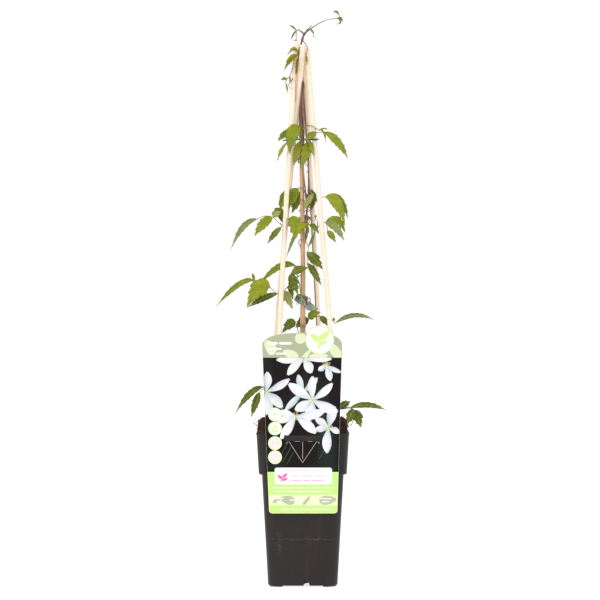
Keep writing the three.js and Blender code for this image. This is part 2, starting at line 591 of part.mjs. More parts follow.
// A hole follows its stem down to just under the stem's end.
const deepened = ([[x, y, z], ...rest]) => [[x, y, z - gap], ...rest];
const stemHole = (route, radius) => rod(deepened(route.slice(0, 4)), () => radius + 2 * gap, 6, 8);

const holes = [
  ...Object.values(caneRoutes).map((route) => makeCane(deepened(route), gap)),
  makeBamboo(deepened(bambooRoute), gap),
  stemHole(stemRoutes.main, stemRadius.main[0]),
  stemHole(stemRoutes.second, stemRadius.second[0]),
  stemHole(leftShoot.stem, shootRadius[0]),
  stemHole(rightShoot.stem, shootRadius[0]),
];

addPiece('pot', makePot(), colours.pot, 0.45);
addPiece('soil', makeSoil(holes), colours.soil, 0.95);
for (const [name, route] of Object.entries(caneRoutes)) addPiece(name, makeCane(route), colours.cane, 0.6);
addPiece('centre_cane', makeBamboo(bambooRoute), colours.bamboo, 0.45);
addPiece('wire_tie', makeTie(), colours.tie, 0.5);
addPiece('grower_tape', makeFilm(), colours.film, 0.4);
addPiece('label_card', makeCard(), colours.card, 0.35);
addPiece('leafy_stem_main', makeLeafyStem(stemRoutes.main, stemRadius.main, mainStalks, mainLeaflets),
  colours.leaf, 0.5);
addPiece('leafy_stem_second', makeLeafyStem(stemRoutes.second, stemRadius.second, secondStalks, secondLeaflets),
  colours.leaf, 0.5);
addPiece('low_shoot_left', makeLeafyStem(leftShoot.stem, shootRadius, leftShoot.stalks, leftShoot.leaflets),
  colours.leaf, 0.5);
addPiece('low_shoot_right', makeLeafyStem(rightShoot.stem, shootRadius, rightShoot.stalks, rightShoot.leaflets),
  colours.leaf, 0.5);

export default plant;
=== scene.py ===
import math
import random

import bmesh
import bpy
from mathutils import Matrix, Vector, noise


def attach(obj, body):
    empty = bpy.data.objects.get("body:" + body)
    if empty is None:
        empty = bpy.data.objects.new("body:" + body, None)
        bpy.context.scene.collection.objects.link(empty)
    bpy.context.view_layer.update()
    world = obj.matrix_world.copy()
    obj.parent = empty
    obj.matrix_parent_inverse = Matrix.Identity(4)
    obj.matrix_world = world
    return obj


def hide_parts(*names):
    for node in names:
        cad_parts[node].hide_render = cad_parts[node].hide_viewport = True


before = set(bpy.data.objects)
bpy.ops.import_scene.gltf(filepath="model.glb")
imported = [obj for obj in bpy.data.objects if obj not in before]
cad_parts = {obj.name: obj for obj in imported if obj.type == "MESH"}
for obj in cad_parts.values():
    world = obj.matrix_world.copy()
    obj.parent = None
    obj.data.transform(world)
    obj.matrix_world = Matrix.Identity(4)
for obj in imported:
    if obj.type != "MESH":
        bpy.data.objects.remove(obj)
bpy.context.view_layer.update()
mm = 0.001
print("frame loaded:", len(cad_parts), "solids")

# ---- small helpers

def hexColour(text):  # sRGB hex to the linear colour a shader takes
    shares = [int(text[i:i + 2], 16) / 255 for i in (1, 3, 5)]
    return [c / 12.92 if c <= 0.04045 else ((c + 0.055) / 1.055) ** 2.4 for c in shares] + [1]


def addNode(tree, kind, settings, links=None):  # one node, its settings and what feeds each socket
    node = tree.nodes.new("ShaderNode" + kind)
    for name, value in settings.items():
        if name == "stops":
            while len(node.color_ramp.elements) < len(value):
                node.color_ramp.elements.new(0.5)
            for element, (position, colour) in zip(node.color_ramp.elements, value):
                element.position = position
                element.color = hexColour(colour)
        elif isinstance(name, int) or name in node.inputs:
            node.inputs[name].default_value = hexColour(value) if str(value).startswith("#") else value
        else:
            setattr(node, name, value)
    for socket, source in (links or {}).items():
        tree.links.new(source, node.inputs[socket])
    return node.outputs


def newMaterial(name, constants):  # a principled material with constant values on its own sockets
    material = bpy.data.materials.new(name)
    material.use_nodes = True
    shader = material.node_tree.nodes["Principled BSDF"]
    for socket, value in constants.items():
        shader.inputs[socket].default_value = value
    return material, material.node_tree


surfaceReadings = {  # what a pattern starts from: object space, or the place and tone kept with each point
    "where": ("TexCoord", {}, "Object"), "place": ("Attribute", {"attribute_name": "place"}, "Vector"),
    "tone": ("Attribute", {"attribute_name": "tone"}, "Fac"),
}


def readSurface(tree, *names):
    chosen = [surfaceReadings[name] for name in names]
    return [addNode(tree, kind, settings)[socket] for kind, settings, socket in chosen]


def feedShader(material, sources):  # links what feeds the shader's sockets, and gives the material back
    shader = material.node_tree.nodes["Principled BSDF"]
    for socket, source in sources.items():
        material.node_tree.links.new(source, shader.inputs[socket])
    return material


def perSize(sizeMm):  # texture scale, in metres, that gives a feature of this many millimetres
    return 1000 / sizeMm


def ease(low, high, value):  # 0 at low, 1 at high, smooth between
    share = min(1, max(0, (value - low) / (high - low)))
    return share * share * (3 - 2 * share)


class Shape:  # the faces of one piece in millimetres; each point has a place and a tone for its finish
    def __init__(self):
        self.points, self.faces, self.finishes, self.places, self.tones = [], [], [], [], []

    def add(self, points, faces, finish=0, places=None, tone=0.5):
        first = len(self.points)
        self.points.extend(points)
        self.faces.extend([first + i for i in face] for face in faces)
        self.finishes.extend([finish] * len(faces))
        self.places.extend(places or [tuple(p) for p in points])
        self.tones.extend(tone if isinstance(tone, list) else [tone] * len(points))

    def make(self, name, materials, sharpAngle=35):
        mesh = bpy.data.meshes.new(name)
        mesh.from_pydata([Vector(p) * mm for p in self.points], [], self.faces)
        for material in materials:
            mesh.materials.append(material)
        mesh.polygons.foreach_set("material_index", self.finishes)
        place = mesh.attributes.new("place", "FLOAT_VECTOR", "POINT")
        place.data.foreach_set("vector", [c for p in self.places for c in p])
        tone = mesh.attributes.new("tone", "FLOAT", "POINT")
        tone.data.foreach_set("value", self.tones)
        piece = bpy.data.objects.new(name, mesh)
        bpy.context.scene.collection.objects.link(piece)
        smoothPiece(piece, sharpAngle)
        return piece


def smoothPiece(piece, sharpAngle):  # faces turned outward and shaded smooth up to the angle
    work = bmesh.new()
    work.from_mesh(piece.data)
    bmesh.ops.recalc_face_normals(work, faces=work.faces)
    work.to_mesh(piece.data)
    work.free()
    piece.data.shade_smooth()
    piece.data.set_sharp_from_angle(angle=math.radians(sharpAngle))


def settlePiece(piece):  # applies the modifiers to the mesh
    evaluated = piece.evaluated_get(bpy.context.evaluated_depsgraph_get())
    mesh = bpy.data.meshes.new_from_object(evaluated)
    piece.modifiers.clear()
    piece.data = mesh


def handOver(piece, slot, *nodes):  # the piece rides on the body and stands for its solids
    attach(piece, "root")
    if nodes:
        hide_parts(*nodes)


def smoothRoute(points, spacing):  # a centripetal curve through the points, in equal steps
    knots = [Vector(p) for p in points]
    knots = [knots[0] * 2 - knots[1], *knots, knots[-1] * 2 - knots[-2]]
    fine = []
    for a, b, c, d in zip(knots, knots[1:], knots[2:], knots[3:]):
        ab, bc, cd = ((q - p).length ** 0.5 for p, q in ((a, b), (b, c), (c, d)))
        leave = ((b - a) / ab - (c - a) / (ab + bc) + (c - b) / bc) * bc
        arrive = ((c - b) / bc - (d - b) / (bc + cd) + (d - c) / cd) * bc
        for i in range(20):
            t = i / 20
            fine.append(b + leave * t + (b * -3 + c * 3 - leave * 2 - arrive) * t ** 2
                        + (b * 2 - c * 2 + leave + arrive) * t ** 3)
    fine.append(knots[-2])
    lengths = [0]
    for p, q in zip(fine, fine[1:]):
        lengths.append(lengths[-1] + (q - p).length)
    count = max(2, round(lengths[-1] / spacing))
    even, at = [], 0
    for step in range(count + 1):
        reach = lengths[-1] * step / count
        while at < len(fine) - 2 and lengths[at + 1] < reach:
            at += 1
        even.append(fine[at].lerp(fine[at + 1], (reach - lengths[at]) / (lengths[at + 1] - lengths[at])))
    return even


roundEnd = ((0.4, 0.8), (0.35, 0.45))
sawnEnd = ((0.07, 0.93), (0, 0.5), (-0.12, 0.28))


def addRod(shape, route, radiusAt, sides=12, spacing=2, finish=0, tone=0.5, shift=0, ends=roundEnd,
           upright=False):
    # radiusAt takes the share of the way, the angle round the rod and the centre; ends are (forward, width);
    # places run round and along the rod, and round an upright one they keep the compass direction
    centres = smoothRoute(route, spacing)
    count = len(centres)
    forward = [(centres[min(i + 1, count - 1)] - centres[max(i - 1, 0)]).normalized() for i in range(count)]
    across = forward[0].orthogonal().normalized()
    rings, along = [], 0
    for i, centre in enumerate(centres):
        across = (across - forward[i] * across.dot(forward[i])).normalized()
        over = forward[i].cross(across)
        along += (centre - centres[i - 1]).length if i else 0
        ring = []
        for side in range(sides):
            angle = side / sides * math.tau
            radius = radiusAt(i / (count - 1), angle, centre)
            ring.append((across * math.cos(angle) + over * math.sin(angle), radius))
        rings.append((centre, ring, along))
    for index, way in ((0, -1), (-1, 1)):
        centre, ring, along = rings[index]
        reach, heading, extra = ring[0][1], forward[index] * way, []
        for ahead, width in ends:
            extra.append((centre + heading * reach * ahead, [(v, r * width) for v, r in ring], along))
        rings = extra[::-1] + rings if way < 0 else rings + extra
    points, places = [], []
    for centre, ring, along in rings:
        for side, (direction, radius) in enumerate(ring):
            angle = side / sides * math.tau
            points.append(centre + direction * radius)
            flat = direction.xy if upright else Vector((math.cos(angle), math.sin(angle)))
            places.append((*(flat * radius), along + shift))
    faces = []
    for level in range(len(rings) - 1):
        low = level * sides
        for side in range(sides):
            turn = (side + 1) % sides
            faces.append((low + side, low + turn, low + sides + turn, low + sides + side))
    faces.append(tuple(range(sides))[::-1])
    faces.append(tuple(range(len(points) - sides, len(points))))
    tones = tone
    if callable(tone):
        tones = [tone(i / (len(rings) - 1)) for i in range(len(rings)) for _ in range(sides)]
    shape.add(points, faces, finish, places, tones)


def loftRings(rings):  # faces between rings of equal length, with both ends closed
    count = len(rings[0])
    faces = [tuple(range(count))[::-1], tuple(range((len(rings) - 1) * count, len(rings) * count))]
    for level in range(len(rings) - 1):
        for i in range(count):
            j = (i + 1) % count
            low, high = level * count, (level + 1) * count
            faces.append((low + i, low + j, high + j, high + i))
    return [p for ring in rings for p in ring], faces


def squareRing(half, radius, z, perCorner=9):  # a square with round corners, seen from above
    ring = []
    for corner in range(4):
        turn = (corner + 0.5) * math.pi / 2
        reach = (half - radius) * math.sqrt(2)
        for step in range(perCorner + 1):
            angle = (corner + step / perCorner) * math.pi / 2
            ring.append((math.cos(turn) * reach + math.cos(angle) * radius,
                         math.sin(turn) * reach + math.sin(angle) * radius, z))
    return ring


def closedSheet(rows, wide):  # upper faces, lower faces and rim of a grid of points and its copy below it
    count, top, bottom = rows * wide, [], []
    for row in range(rows - 1):
        for j in range(wide - 1):
            a = row * wide + j
            top.append((a, a + 1, a + wide + 1, a + wide))
            bottom.append(tuple(q + count for q in (a, a + wide, a + wide + 1, a + 1)))
    edge = list(range(wide)) + [row * wide + wide - 1 for row in range(1, rows)]
    edge += [(rows - 1) * wide + j for j in range(wide - 2, -1, -1)]
    edge += [row * wide for row in range(rows - 2, 0, -1)]
    return top, bottom, [(a, b, b + count, a + count) for a, b in zip(edge, edge[1:] + edge[:1])]


def circleLine(x, y, radius, count):  # points evenly round a circle
    turns = [i / count * math.tau for i in range(count)]
    return [(x + math.cos(turn) * radius, y + math.sin(turn) * radius) for turn in turns]


def addBox(shape, low, high):
    corners = [(x, y, z) for z in (low[2], high[2]) for y in (low[1], high[1]) for x in (low[0], high[0])]
    shape.add(corners, [(0, 2, 3, 1), (4, 5, 7, 6), (0, 1, 5, 4), (1, 3, 7, 5), (3, 2, 6, 7), (2, 0, 4, 6)])


def cutAway(piece, shape):  # takes the shape out of the piece
    cutter = shape.make("cutter", [])
    change = piece.modifiers.new("cut", "BOOLEAN")
    change.object, change.operation, change.solver = cutter, "DIFFERENCE", "EXACT"
    settlePiece(piece)
    bpy.data.objects.remove(cutter)


def softenEdges(piece, width, segments=2):  # a small round on every sharp edge
    change = piece.modifiers.new("soft", "BEVEL")
    change.width, change.segments, change.angle_limit = width * mm, segments, math.radians(35)
    change.limit_method, change.harden_normals = "ANGLE", False
    settlePiece(piece)


# ---- camera, floor and light

studio = {
    "cameraAt": (-3.6, -4000, 369), "lens": 184.6, "clipEnd": 40,
    "acrylic": "#9a9a9a", "glow": 0.78, "floorHalf": 9,  # metres
    "horizonLight": 1.02, "skyLight": 0.48,
    "horizonBand": (0.13, 0.35),  # sines of the heights where the bright band fades
    "softSuns": [  # where the light comes from, its spread in degrees and its strength
        ((-0.12, -1.00, 0.45), 75, 1.15), ((-0.95, -0.55, 0.60), 70, 0.9), ((0.95, -0.50, 0.60), 70, 0.8),
        ((0.10, 0.70, 1.20), 60, 0.8),
    ],
}


def makeStudio():
    scene = bpy.context.scene
    camera = bpy.data.objects.new("photoCamera", bpy.data.cameras.new("photoCamera"))
    camera.location = Vector(studio["cameraAt"]) * mm
    camera.rotation_euler = (math.pi / 2, 0, 0)
    camera.data.lens = studio["lens"]
    camera.data.clip_end = studio["clipEnd"]
    scene.collection.objects.link(camera)
    scene.camera = camera
    scene.view_settings.view_transform = "Standard"
    scene.world = bpy.data.worlds.new("studio")
    scene.world.use_nodes = True
    tree = scene.world.node_tree  # a white band all round at eye height, dimmer above and below it
    direction = addNode(tree, "TexCoord", {})["Generated"]
    height = addNode(tree, "SeparateXYZ", {}, {0: direction})["Z"]
    level = addNode(tree, "Math", {"operation": "ABSOLUTE"}, {0: height})[0]
    low, high = studio["horizonBand"]
    light = addNode(tree, "MapRange", {1: low, 2: high, 3: studio["horizonLight"], 4: studio["skyLight"]},
                    {0: level})[0]
    backdrop = tree.nodes["Background"]
    backdrop.inputs["Color"].default_value = hexColour("#ffffff")
    tree.links.new(light, backdrop.inputs["Strength"])
    for i, (source, spread, strength) in enumerate(studio["softSuns"]):
        lamp = bpy.data.lights.new(f"softSun{i}", "SUN")
        lamp.angle, lamp.energy = math.radians(spread), strength
        holder = bpy.data.objects.new(lamp.name, lamp)
        holder.rotation_euler = Vector(source).to_track_quat("Z", "Y").to_euler()
        scene.collection.objects.link(holder)
    half = studio["floorHalf"]
    mesh = bpy.data.meshes.new("opalTable")
    corners = [(-half, -half, 0), (half, -half, 0), (half, half, 0), (-half, half, 0)]
    mesh.from_pydata(corners, [], [(0, 1, 2, 3)])
    # opal acrylic, cast and lit from below: pure white, with only a faint shadow round the feet
    material, _ = newMaterial("opalAcrylicTable", {
        "Base Color": hexColour(studio["acrylic"]), "Roughness": 0.9, "Emission Color": hexColour("#ffffff"),
        "Emission Strength": studio["glow"]})
    mesh.materials.append(material)
    floor = bpy.data.objects.new("opalTable", mesh)
    scene.collection.objects.link(floor)
    floor.visible_diffuse = False  # the table throws no light back up, so leaves keep their shade


makeStudio()
print("camera, floor and lamps set")

# ---- pot

pot = {
    "height": 198, "wall": 1.5, "corner": 13, "edgeRound": 0.28,
    "footHalf": 42.6, "baseHalf": 44.8, "bodyTopHalf": 52.6, "collarBottomHalf": 56.7, "rimHalf": 60,
    "collarBottom": 146, "step": 2, "lip": 2.6, "lipProud": 0.5, "floorUnder": 7, "floorThick": 2,
    "footHeight": 3, "skirtLift": 1.5, "footInner": 26, "centreFoot": 3.4,
    "notch": (4.8, 9.6, 5, 6.6),  # off centre by, width at the foot and at the top, and height
    "drain": (5, 22),  # radius and distance from the middle lines
    "bar": ((-24.1, -62.4, 188.3), (24.6, -58.6, 195.8)),
    "bossAt": (-7.4, 192.6),  # on the bar, as x and z, and turned from these radii and depths
    "bossSteps": ((2.3, -62), (2.3, -62.7), (1.9, -62.9), (1.2, -62.9), (0.9, -62.55)),
    "ribsAt": (-19, -12.5, 6, 19.5),
    "rib": (1, (-62.75, 189.2), (-62, 194.8)),  # width, and y and z from and to
    "black": "#1d1516", "collarShadedBlack": "#110e0f", "dust": "#57504f", "stain": "#3a2a20", "scuff": "#7d655a",
    "grainMm": 0.9, "flowMm": 26, "speckMm": 3.1, "scratchHeight": 61.5, "scratchWander": 4.5, "wanderMm": 16,
    "smearAt": (-0.030, -0.050, 0.056), "smearSize": (0.008, 0.05, 0.022),
}


def mouldedPolypropylene():
    # black polypropylene, injection moulded: satin, a fine grain, long flow marks, dust and a few dull scuffs
    material, tree = newMaterial("mouldedPolypropylene", {"IOR": 1.49, "Specular IOR Level": 0.34})
    where, = readSurface(tree, "where")
    height = addNode(tree, "SeparateXYZ", {}, {0: where})["Z"]
    # above the collar step the black is painted darker: painted shade, the pot being one plastic throughout
    collar = addNode(tree, "MapRange", {1: 0.1445, 2: 0.1465}, {0: height})[0]
    base = addNode(tree, "Mix", {"data_type": "RGBA", 6: pot["black"], 7: pot["collarShadedBlack"]},
                   {0: collar})[2]
    upright = addNode(tree, "Mapping", {"Scale": (1, 1, 0.22)}, {0: where})[0]
    flow = addNode(tree, "TexNoise", {"Scale": perSize(pot["flowMm"]), "Detail": 5, "Roughness": 0.6},
                   {0: upright})[0]
    grain = addNode(tree, "TexNoise", {"Scale": perSize(pot["grainMm"]), "Detail": 3}, {0: where})[0]
    speck = addNode(tree, "TexNoise", {"Scale": perSize(pot["speckMm"]), "Detail": 8, "Roughness": 0.75},
                    {0: where})[0]
    dusty = addNode(tree, "MapRange", {1: 0.6, 2: 0.74, 4: 0.6}, {0: speck})[0]
    dusted = addNode(tree, "Mix", {"data_type": "RGBA", 7: pot["dust"]}, {0: dusty, 6: base})[2]
    soiled = addNode(tree, "MapRange", {1: 0.56, 2: 0.72, 4: 0.5}, {0: flow})[0]
    stained = addNode(tree, "Mix", {"data_type": "RGBA", 7: pot["stain"]}, {0: soiled, 6: dusted})[2]
    wander = addNode(tree, "TexNoise", {"Scale": perSize(pot["wanderMm"]), "Detail": 3}, {0: where})[0]
    sway = pot["scratchWander"] * mm
    lowered = -sway - pot["scratchHeight"] * mm
    bent = addNode(tree, "Math", {"operation": "MULTIPLY_ADD", 1: 2 * sway, 2: lowered}, {0: wander})[0]
    offset = addNode(tree, "Math", {"operation": "ADD"}, {0: height, 1: bent})[0]
    nearness = addNode(tree, "Math", {"operation": "ABSOLUTE"}, {0: offset})[0]
    line = addNode(tree, "MapRange", {1: 0.0006, 2: 0.0002, 4: 0.8}, {0: nearness})[0]
    broken = addNode(tree, "MapRange", {1: 0.46, 2: 0.64}, {0: speck})[0]
    scratch = addNode(tree, "Math", {"operation": "MULTIPLY"}, {0: line, 1: broken})[0]
    around = addNode(tree, "Mapping", {
        "vector_type": "TEXTURE", "Location": pot["smearAt"], "Scale": pot["smearSize"]}, {0: where})[0]
    patch = addNode(tree, "TexGradient", {"gradient_type": "SPHERICAL"}, {0: around})["Fac"]
    faint = addNode(tree, "MapRange", {1: 0.1, 2: 1, 4: 0.4}, {0: patch})[0]
    smear = addNode(tree, "Math", {"operation": "MULTIPLY"}, {0: faint, 1: broken})[0]
    worn = addNode(tree, "Math", {"operation": "MAXIMUM"}, {0: scratch, 1: smear})[0]
    colour = addNode(tree, "Mix", {"data_type": "RGBA", 7: pot["scuff"]}, {0: worn, 6: stained})[2]
    gloss = addNode(tree, "MapRange", {1: 0.3, 2: 0.75, 3: 0.34, 4: 0.58}, {0: flow})[0]
    bump = addNode(tree, "Bump", {"Strength": 0.25, "Distance": 0.00006}, {"Height": grain})[0]
    wavy = addNode(tree, "Bump", {"Strength": 0.35, "Distance": 0.0004}, {"Height": flow, "Normal": bump})[0]
    return feedShader(material, {"Base Color": colour, "Roughness": gloss, "Normal": wavy})


def makePot():
    corner, wall, top = pot["corner"], pot["wall"], pot["height"]
    stepZ, lipZ = pot["collarBottom"] - pot["step"], top - pot["lip"]
    outline = [
        (0, pot["footHalf"]), (pot["footHeight"], pot["baseHalf"]), (stepZ, pot["bodyTopHalf"]),
        (stepZ + 0.7, pot["bodyTopHalf"] + 2.6), (pot["collarBottom"], pot["collarBottomHalf"]),
        (lipZ, pot["rimHalf"] - pot["lipProud"]), (lipZ + 0.5, pot["rimHalf"]), (top, pot["rimHalf"]),
    ]
    shape = Shape()
    shape.add(*loftRings([squareRing(half, corner, z) for z, half in outline]))
    piece = shape.make("pot_shell", [mouldedPolypropylene()])
    floorTop = pot["floorUnder"] + pot["floorThick"]
    inner = [(floorTop, pot["baseHalf"]), (stepZ + 1, pot["bodyTopHalf"]),
             (pot["collarBottom"] + 1, pot["collarBottomHalf"]), (top + 1, pot["rimHalf"] - 0.4)]
    hollow = Shape()
    hollow.add(*loftRings([squareRing(half - wall, corner - wall, z) for z, half in inner]))
    cutAway(piece, hollow)
    long, short, wide = pot["footHalf"] - wall, pot["footInner"], pot["rimHalf"]
    # four slabs clear the space under the floor and lift the skirt between the corner feet
    for low, high in (((-long, -short, -1), (long, short, pot["floorUnder"])),
                      ((-short, -long, -1), (short, long, pot["floorUnder"])),
                      ((-wide, -short, -1), (wide, short, pot["skirtLift"])),
                      ((-short, -wide, -1), (short, wide, pot["skirtLift"]))):
        slab = Shape()
        addBox(slab, low, high)
        cutAway(piece, slab)
    centre, bottomWidth, topWidth, height = pot["notch"]
    for alongY in (True, False):  # the drain notches run right through, one way and the other
        middle = centre if alongY else 0
        section = [(middle - bottomWidth / 2, -1), (middle + bottomWidth / 2, -1),
                   (middle + topWidth / 2, height), (middle - topWidth / 2, height)]
        ends = [[(u, v, z) if alongY else (-v, u, z) for u, z in section] for v in (-wide, wide)]
        channel = Shape()
        channel.add(*loftRings(ends))
        cutAway(piece, channel)
    radius, offset = pot["drain"]
    for x in (-offset, offset):
        for y in (-offset, offset):
            drain, ring = Shape(), circleLine(x, y, radius, 32)
            drain.add(*loftRings([[(*p, z) for p in ring] for z in (pot["floorUnder"] - 1, floorTop + 1)]))
            cutAway(piece, drain)
    softenEdges(piece, pot["edgeRound"])
    smoothPiece(piece, 32)
    handOver(piece, "pot", "pot")
    return piece


def makePotFittings(material):  # the bar that holds the label, its boss, and the foot under the floor
    shape = Shape()
    low, high = pot["bar"]
    addBox(shape, low, high)
    piece = shape.make("pot_label_bar", [material])
    softenEdges(piece, 0.5, 3)
    smoothPiece(piece, 40)
    handOver(piece, "pot")
    details = Shape()
    bossX, bossZ = pot["bossAt"]
    boss = [[(x, y, z) for x, z in circleLine(bossX, bossZ, r, 24)] for r, y in pot["bossSteps"]]
    details.add(*loftRings(boss))
    width, ribLow, ribHigh = pot["rib"]
    for x in pot["ribsAt"]:
        addBox(details, (x - width / 2, *ribLow), (x + width / 2, *ribHigh))
    outer = pot["centreFoot"]
    footSteps = (0, outer - 0.4), (0.3, outer), (pot["floorUnder"] + 1, outer)
    details.add(*loftRings([[(*p, z) for p in circleLine(0, 0, r, 24)] for z, r in footSteps]))
    fittings = details.make("pot_boss_and_foot", [material])
    handOver(fittings, "pot")


potShell = makePot()
makePotFittings(potShell.data.materials[0])
print("pot moulded")

# ---- root ball

soil = {
    "proud": 16, "inside": 2.1, "roughMm": 1.3, "seed": 11,
    "foot": 9.3, "side": (57.9, 0.07, 1.05, 14), "top": (1.6, 34),  # half width, steps in and up, how many
    "shoulder": ((2.0, 56.4), (0.8, 55.4), (0.1, 54.2)),  # below the top, and half width
    "crumbs": 620, "crumbMm": (0.5, 2.1), "crumbHalf": 54, "fibres": 230, "fibreMm": (5, 16), "fibreHalf": 52,
    "loose": 57.6,  # how far from the middle a fibre may reach
    "peatDark": "#140b07", "peat": "#2b1a11", "peatWarm": "#53301c", "fibre": "#8a4d2c",
    "grainMm": 0.8, "patchMm": 7,
}


def dampPeat(name, dark, middle, warm, roughness=0.95):
    # damp peat, pressed by hand: near black and dull, with warm brown fibre that catches the light
    material, tree = newMaterial(name, {"Roughness": roughness, "Specular IOR Level": 0.25})
    where, tone = readSurface(tree, "where", "tone")
    patch = addNode(tree, "TexNoise", {"Scale": perSize(soil["patchMm"]), "Detail": 6, "Roughness": 0.7},
                    {0: where})[0]
    mixed = addNode(tree, "Math", {"operation": "MULTIPLY_ADD", 1: 0.55}, {0: tone, 2: patch})[0]
    shifted = addNode(tree, "Math", {"operation": "SUBTRACT", 1: 0.26}, {0: mixed})[0]
    colour = addNode(tree, "ValToRGB", {"stops": [(0.34, dark), (0.52, middle), (0.74, warm)]},
                     {0: shifted})[0]
    grain = addNode(tree, "TexNoise", {"Scale": perSize(soil["grainMm"]), "Detail": 4}, {0: where})[0]
    bump = addNode(tree, "Bump", {"Strength": 0.8, "Distance": 0.0005}, {"Height": grain})[0]
    return feedShader(material, {"Base Color": colour, "Normal": bump})


def evenSquareRing(half, radius, z, count=132):  # the same square ring, with its points evenly spaced
    straight, quarter = 2 * (half - radius), radius * math.pi / 2
    ring = []
    for i in range(count):
        way = i / count * 4 * (straight + quarter)
        side, way = int(way // (straight + quarter)), way % (straight + quarter)
        if way < straight:
            u, v = half, way - straight / 2
        else:
            angle = (way - straight) / radius
            u, v = half - radius + math.cos(angle) * radius, half - radius + math.sin(angle) * radius
        turn = side * math.pi / 2
        ring.append((u * math.cos(turn) - v * math.sin(turn), u * math.sin(turn) + v * math.cos(turn), z))
    return ring


def crumbForm():  # a small round block, as points and faces
    work = bmesh.new()
    bmesh.ops.create_icosphere(work, subdivisions=2, radius=1)
    points = [v.co.copy() for v in work.verts]
    faces = [tuple(v.index for v in face.verts) for face in work.faces]
    work.free()
    return points, faces


def makeSoil():
    chance = random.Random(soil["seed"])
    shape = Shape()
    rim, top, inside = pot["height"], pot["height"] + soil["proud"], soil["inside"]
    collar = pot["collarBottom"]
    wallRings = [(soil["foot"], pot["baseHalf"] - inside), (collar, pot["bodyTopHalf"] - inside),
                 (collar + 2.5, pot["collarBottomHalf"] - inside), (rim - 3, pot["rimHalf"] - inside - 0.6)]
    sideHalf, inward, upward, count = soil["side"]
    sideRings = [(rim - 1.5 + i * upward, sideHalf - i * inward) for i in range(count)]
    topRings = [(top - below, half) for below, half in soil["shoulder"]]
    spacing, count = soil["top"]
    topRings += [(top, soil["shoulder"][-1][1] - i * spacing) for i in range(1, count)]
    rings = []
    for z, half in wallRings + sideRings + topRings:
        rough = 0 if z < rim - 2 else soil["roughMm"]
        ring = []
        for x, y, _ in evenSquareRing(half, min(pot["corner"] - inside, half * 0.85), z):
            at = Vector((x, y, z)) * 0.16
            push = noise.turbulence(at, 4, False) * rough
            fine = noise.noise(Vector((x, y, z)) * 0.55) * rough * 0.35
            shrink = 1 - max(0, push - 0.1) * 0.55 / max(half, 6) if z < top - 1 else 1
            rise = (noise.noise(at * 0.7 + Vector((7, 3, 1))) * rough * 0.9 + fine) if rough else 0
            ring.append((x * shrink, y * shrink, z + rise))
        rings.append(ring)
    shape.add(*loftRings(rings))
    crumbPoints, crumbFaces = crumbForm()
    reach = soil["crumbHalf"]
    for i in range(soil["crumbs"]):  # a third of them lie on the sides
        size = chance.uniform(*soil["crumbMm"]) * (0.6 + 0.5 * chance.random())
        if i % 3:
            x, y, z = chance.uniform(-reach, reach), chance.uniform(-reach, reach), top + 0.2
        else:
            way = chance.choice(evenSquareRing(57.0, 11, 0))
            x, y, z = way[0], way[1], chance.uniform(rim + 0.4, top - 1.5)
        stretch = Vector((chance.uniform(0.7, 1.4), chance.uniform(0.7, 1.4), chance.uniform(0.6, 1.0)))
        where = Vector((i * 3.1, i * 1.7, 0))
        block = [Vector((x, y, z)) + Vector([a * b for a, b in zip(p, stretch)]) * size
                 * (1 + 0.45 * noise.noise(p * 1.3 + where)) for p in crumbPoints]
        shape.add(block, crumbFaces, 0, None, chance.random())
    for i in range(soil["fibres"]):
        reach = chance.uniform(*soil["fibreMm"])
        heading = chance.uniform(0, math.tau)
        onTop = i % 5 > 1
        if onTop:
            half = soil["fibreHalf"]
            x, y = chance.uniform(-half, half), chance.uniform(-half, half)
            start = Vector((x, y, top + chance.uniform(0.2, 1.0)))
            step = Vector((math.cos(heading), math.sin(heading), 0))
        else:
            way = Vector(chance.choice(evenSquareRing(57.4, 11, 0)))
            start = way + Vector((0, 0, chance.uniform(rim + 2, top - 2)))
            tangent = Vector((-way.y, way.x, 0)).normalized()
            step = (tangent * math.cos(heading) + Vector((0, 0, 0.6)) * math.sin(heading)).normalized()
        route = [start]
        for _ in range(3):
            swerve = (chance.uniform(-0.6, 0.6), chance.uniform(-0.6, 0.6), chance.uniform(-0.35, 0.3))
            step = (step + Vector(swerve)).normalized()
            ahead = route[-1] + step * reach / 3
            if onTop:
                ahead.z = min(max(ahead.z, top - 0.2), top + 2.6)
            x, y = (max(-soil["loose"], min(soil["loose"], v)) for v in ahead.xy)
            route.append(Vector((x, y, ahead.z)))
        thin = chance.uniform(0.12, 0.3)
        addRod(shape, route, lambda t, a, c: thin * (1 - 0.5 * t), 5, 1.6, 1, chance.random())
    peat = dampPeat("dampPeat", soil["peatDark"], soil["peat"], soil["peatWarm"])
    fibre = dampPeat("peatFibre", soil["peat"], soil["peatWarm"], soil["fibre"], 0.8)
    piece = shape.make("root_ball", [peat, fibre], 60)
    handOver(piece, "soil", "soil")
    return fibre


looseRoots = [  # dry roots that stick out of the root ball, with their thickness
    ([(-55, -20, 204), (-58.6, -21.5, 206.4), (-61.5, -22.4, 208.6), (-64.8, -23, 211.4)], 0.7),
    ([(-57, -21, 209), (-60, -24, 212), (-61.3, -25, 215.8)], 0.45),
    ([(56, -16, 213), (59.8, -18, 215.6), (63.2, -19, 213.8), (64, -19, 210), (61.8, -18.4, 206.6),
      (59.4, -18, 208)], 0.8),
    ([(57, -14, 208), (59.6, -14.6, 204.6), (60.6, -15, 201.8)], 0.5),
    ([(-30, 56.5, 206), (-33, 59.5, 209), (-37, 60.5, 207.2)], 0.5),
    ([(22, -56.5, 208), (24, -58.9, 205.2), (28.5, -59.3, 204)], 0.45),
]


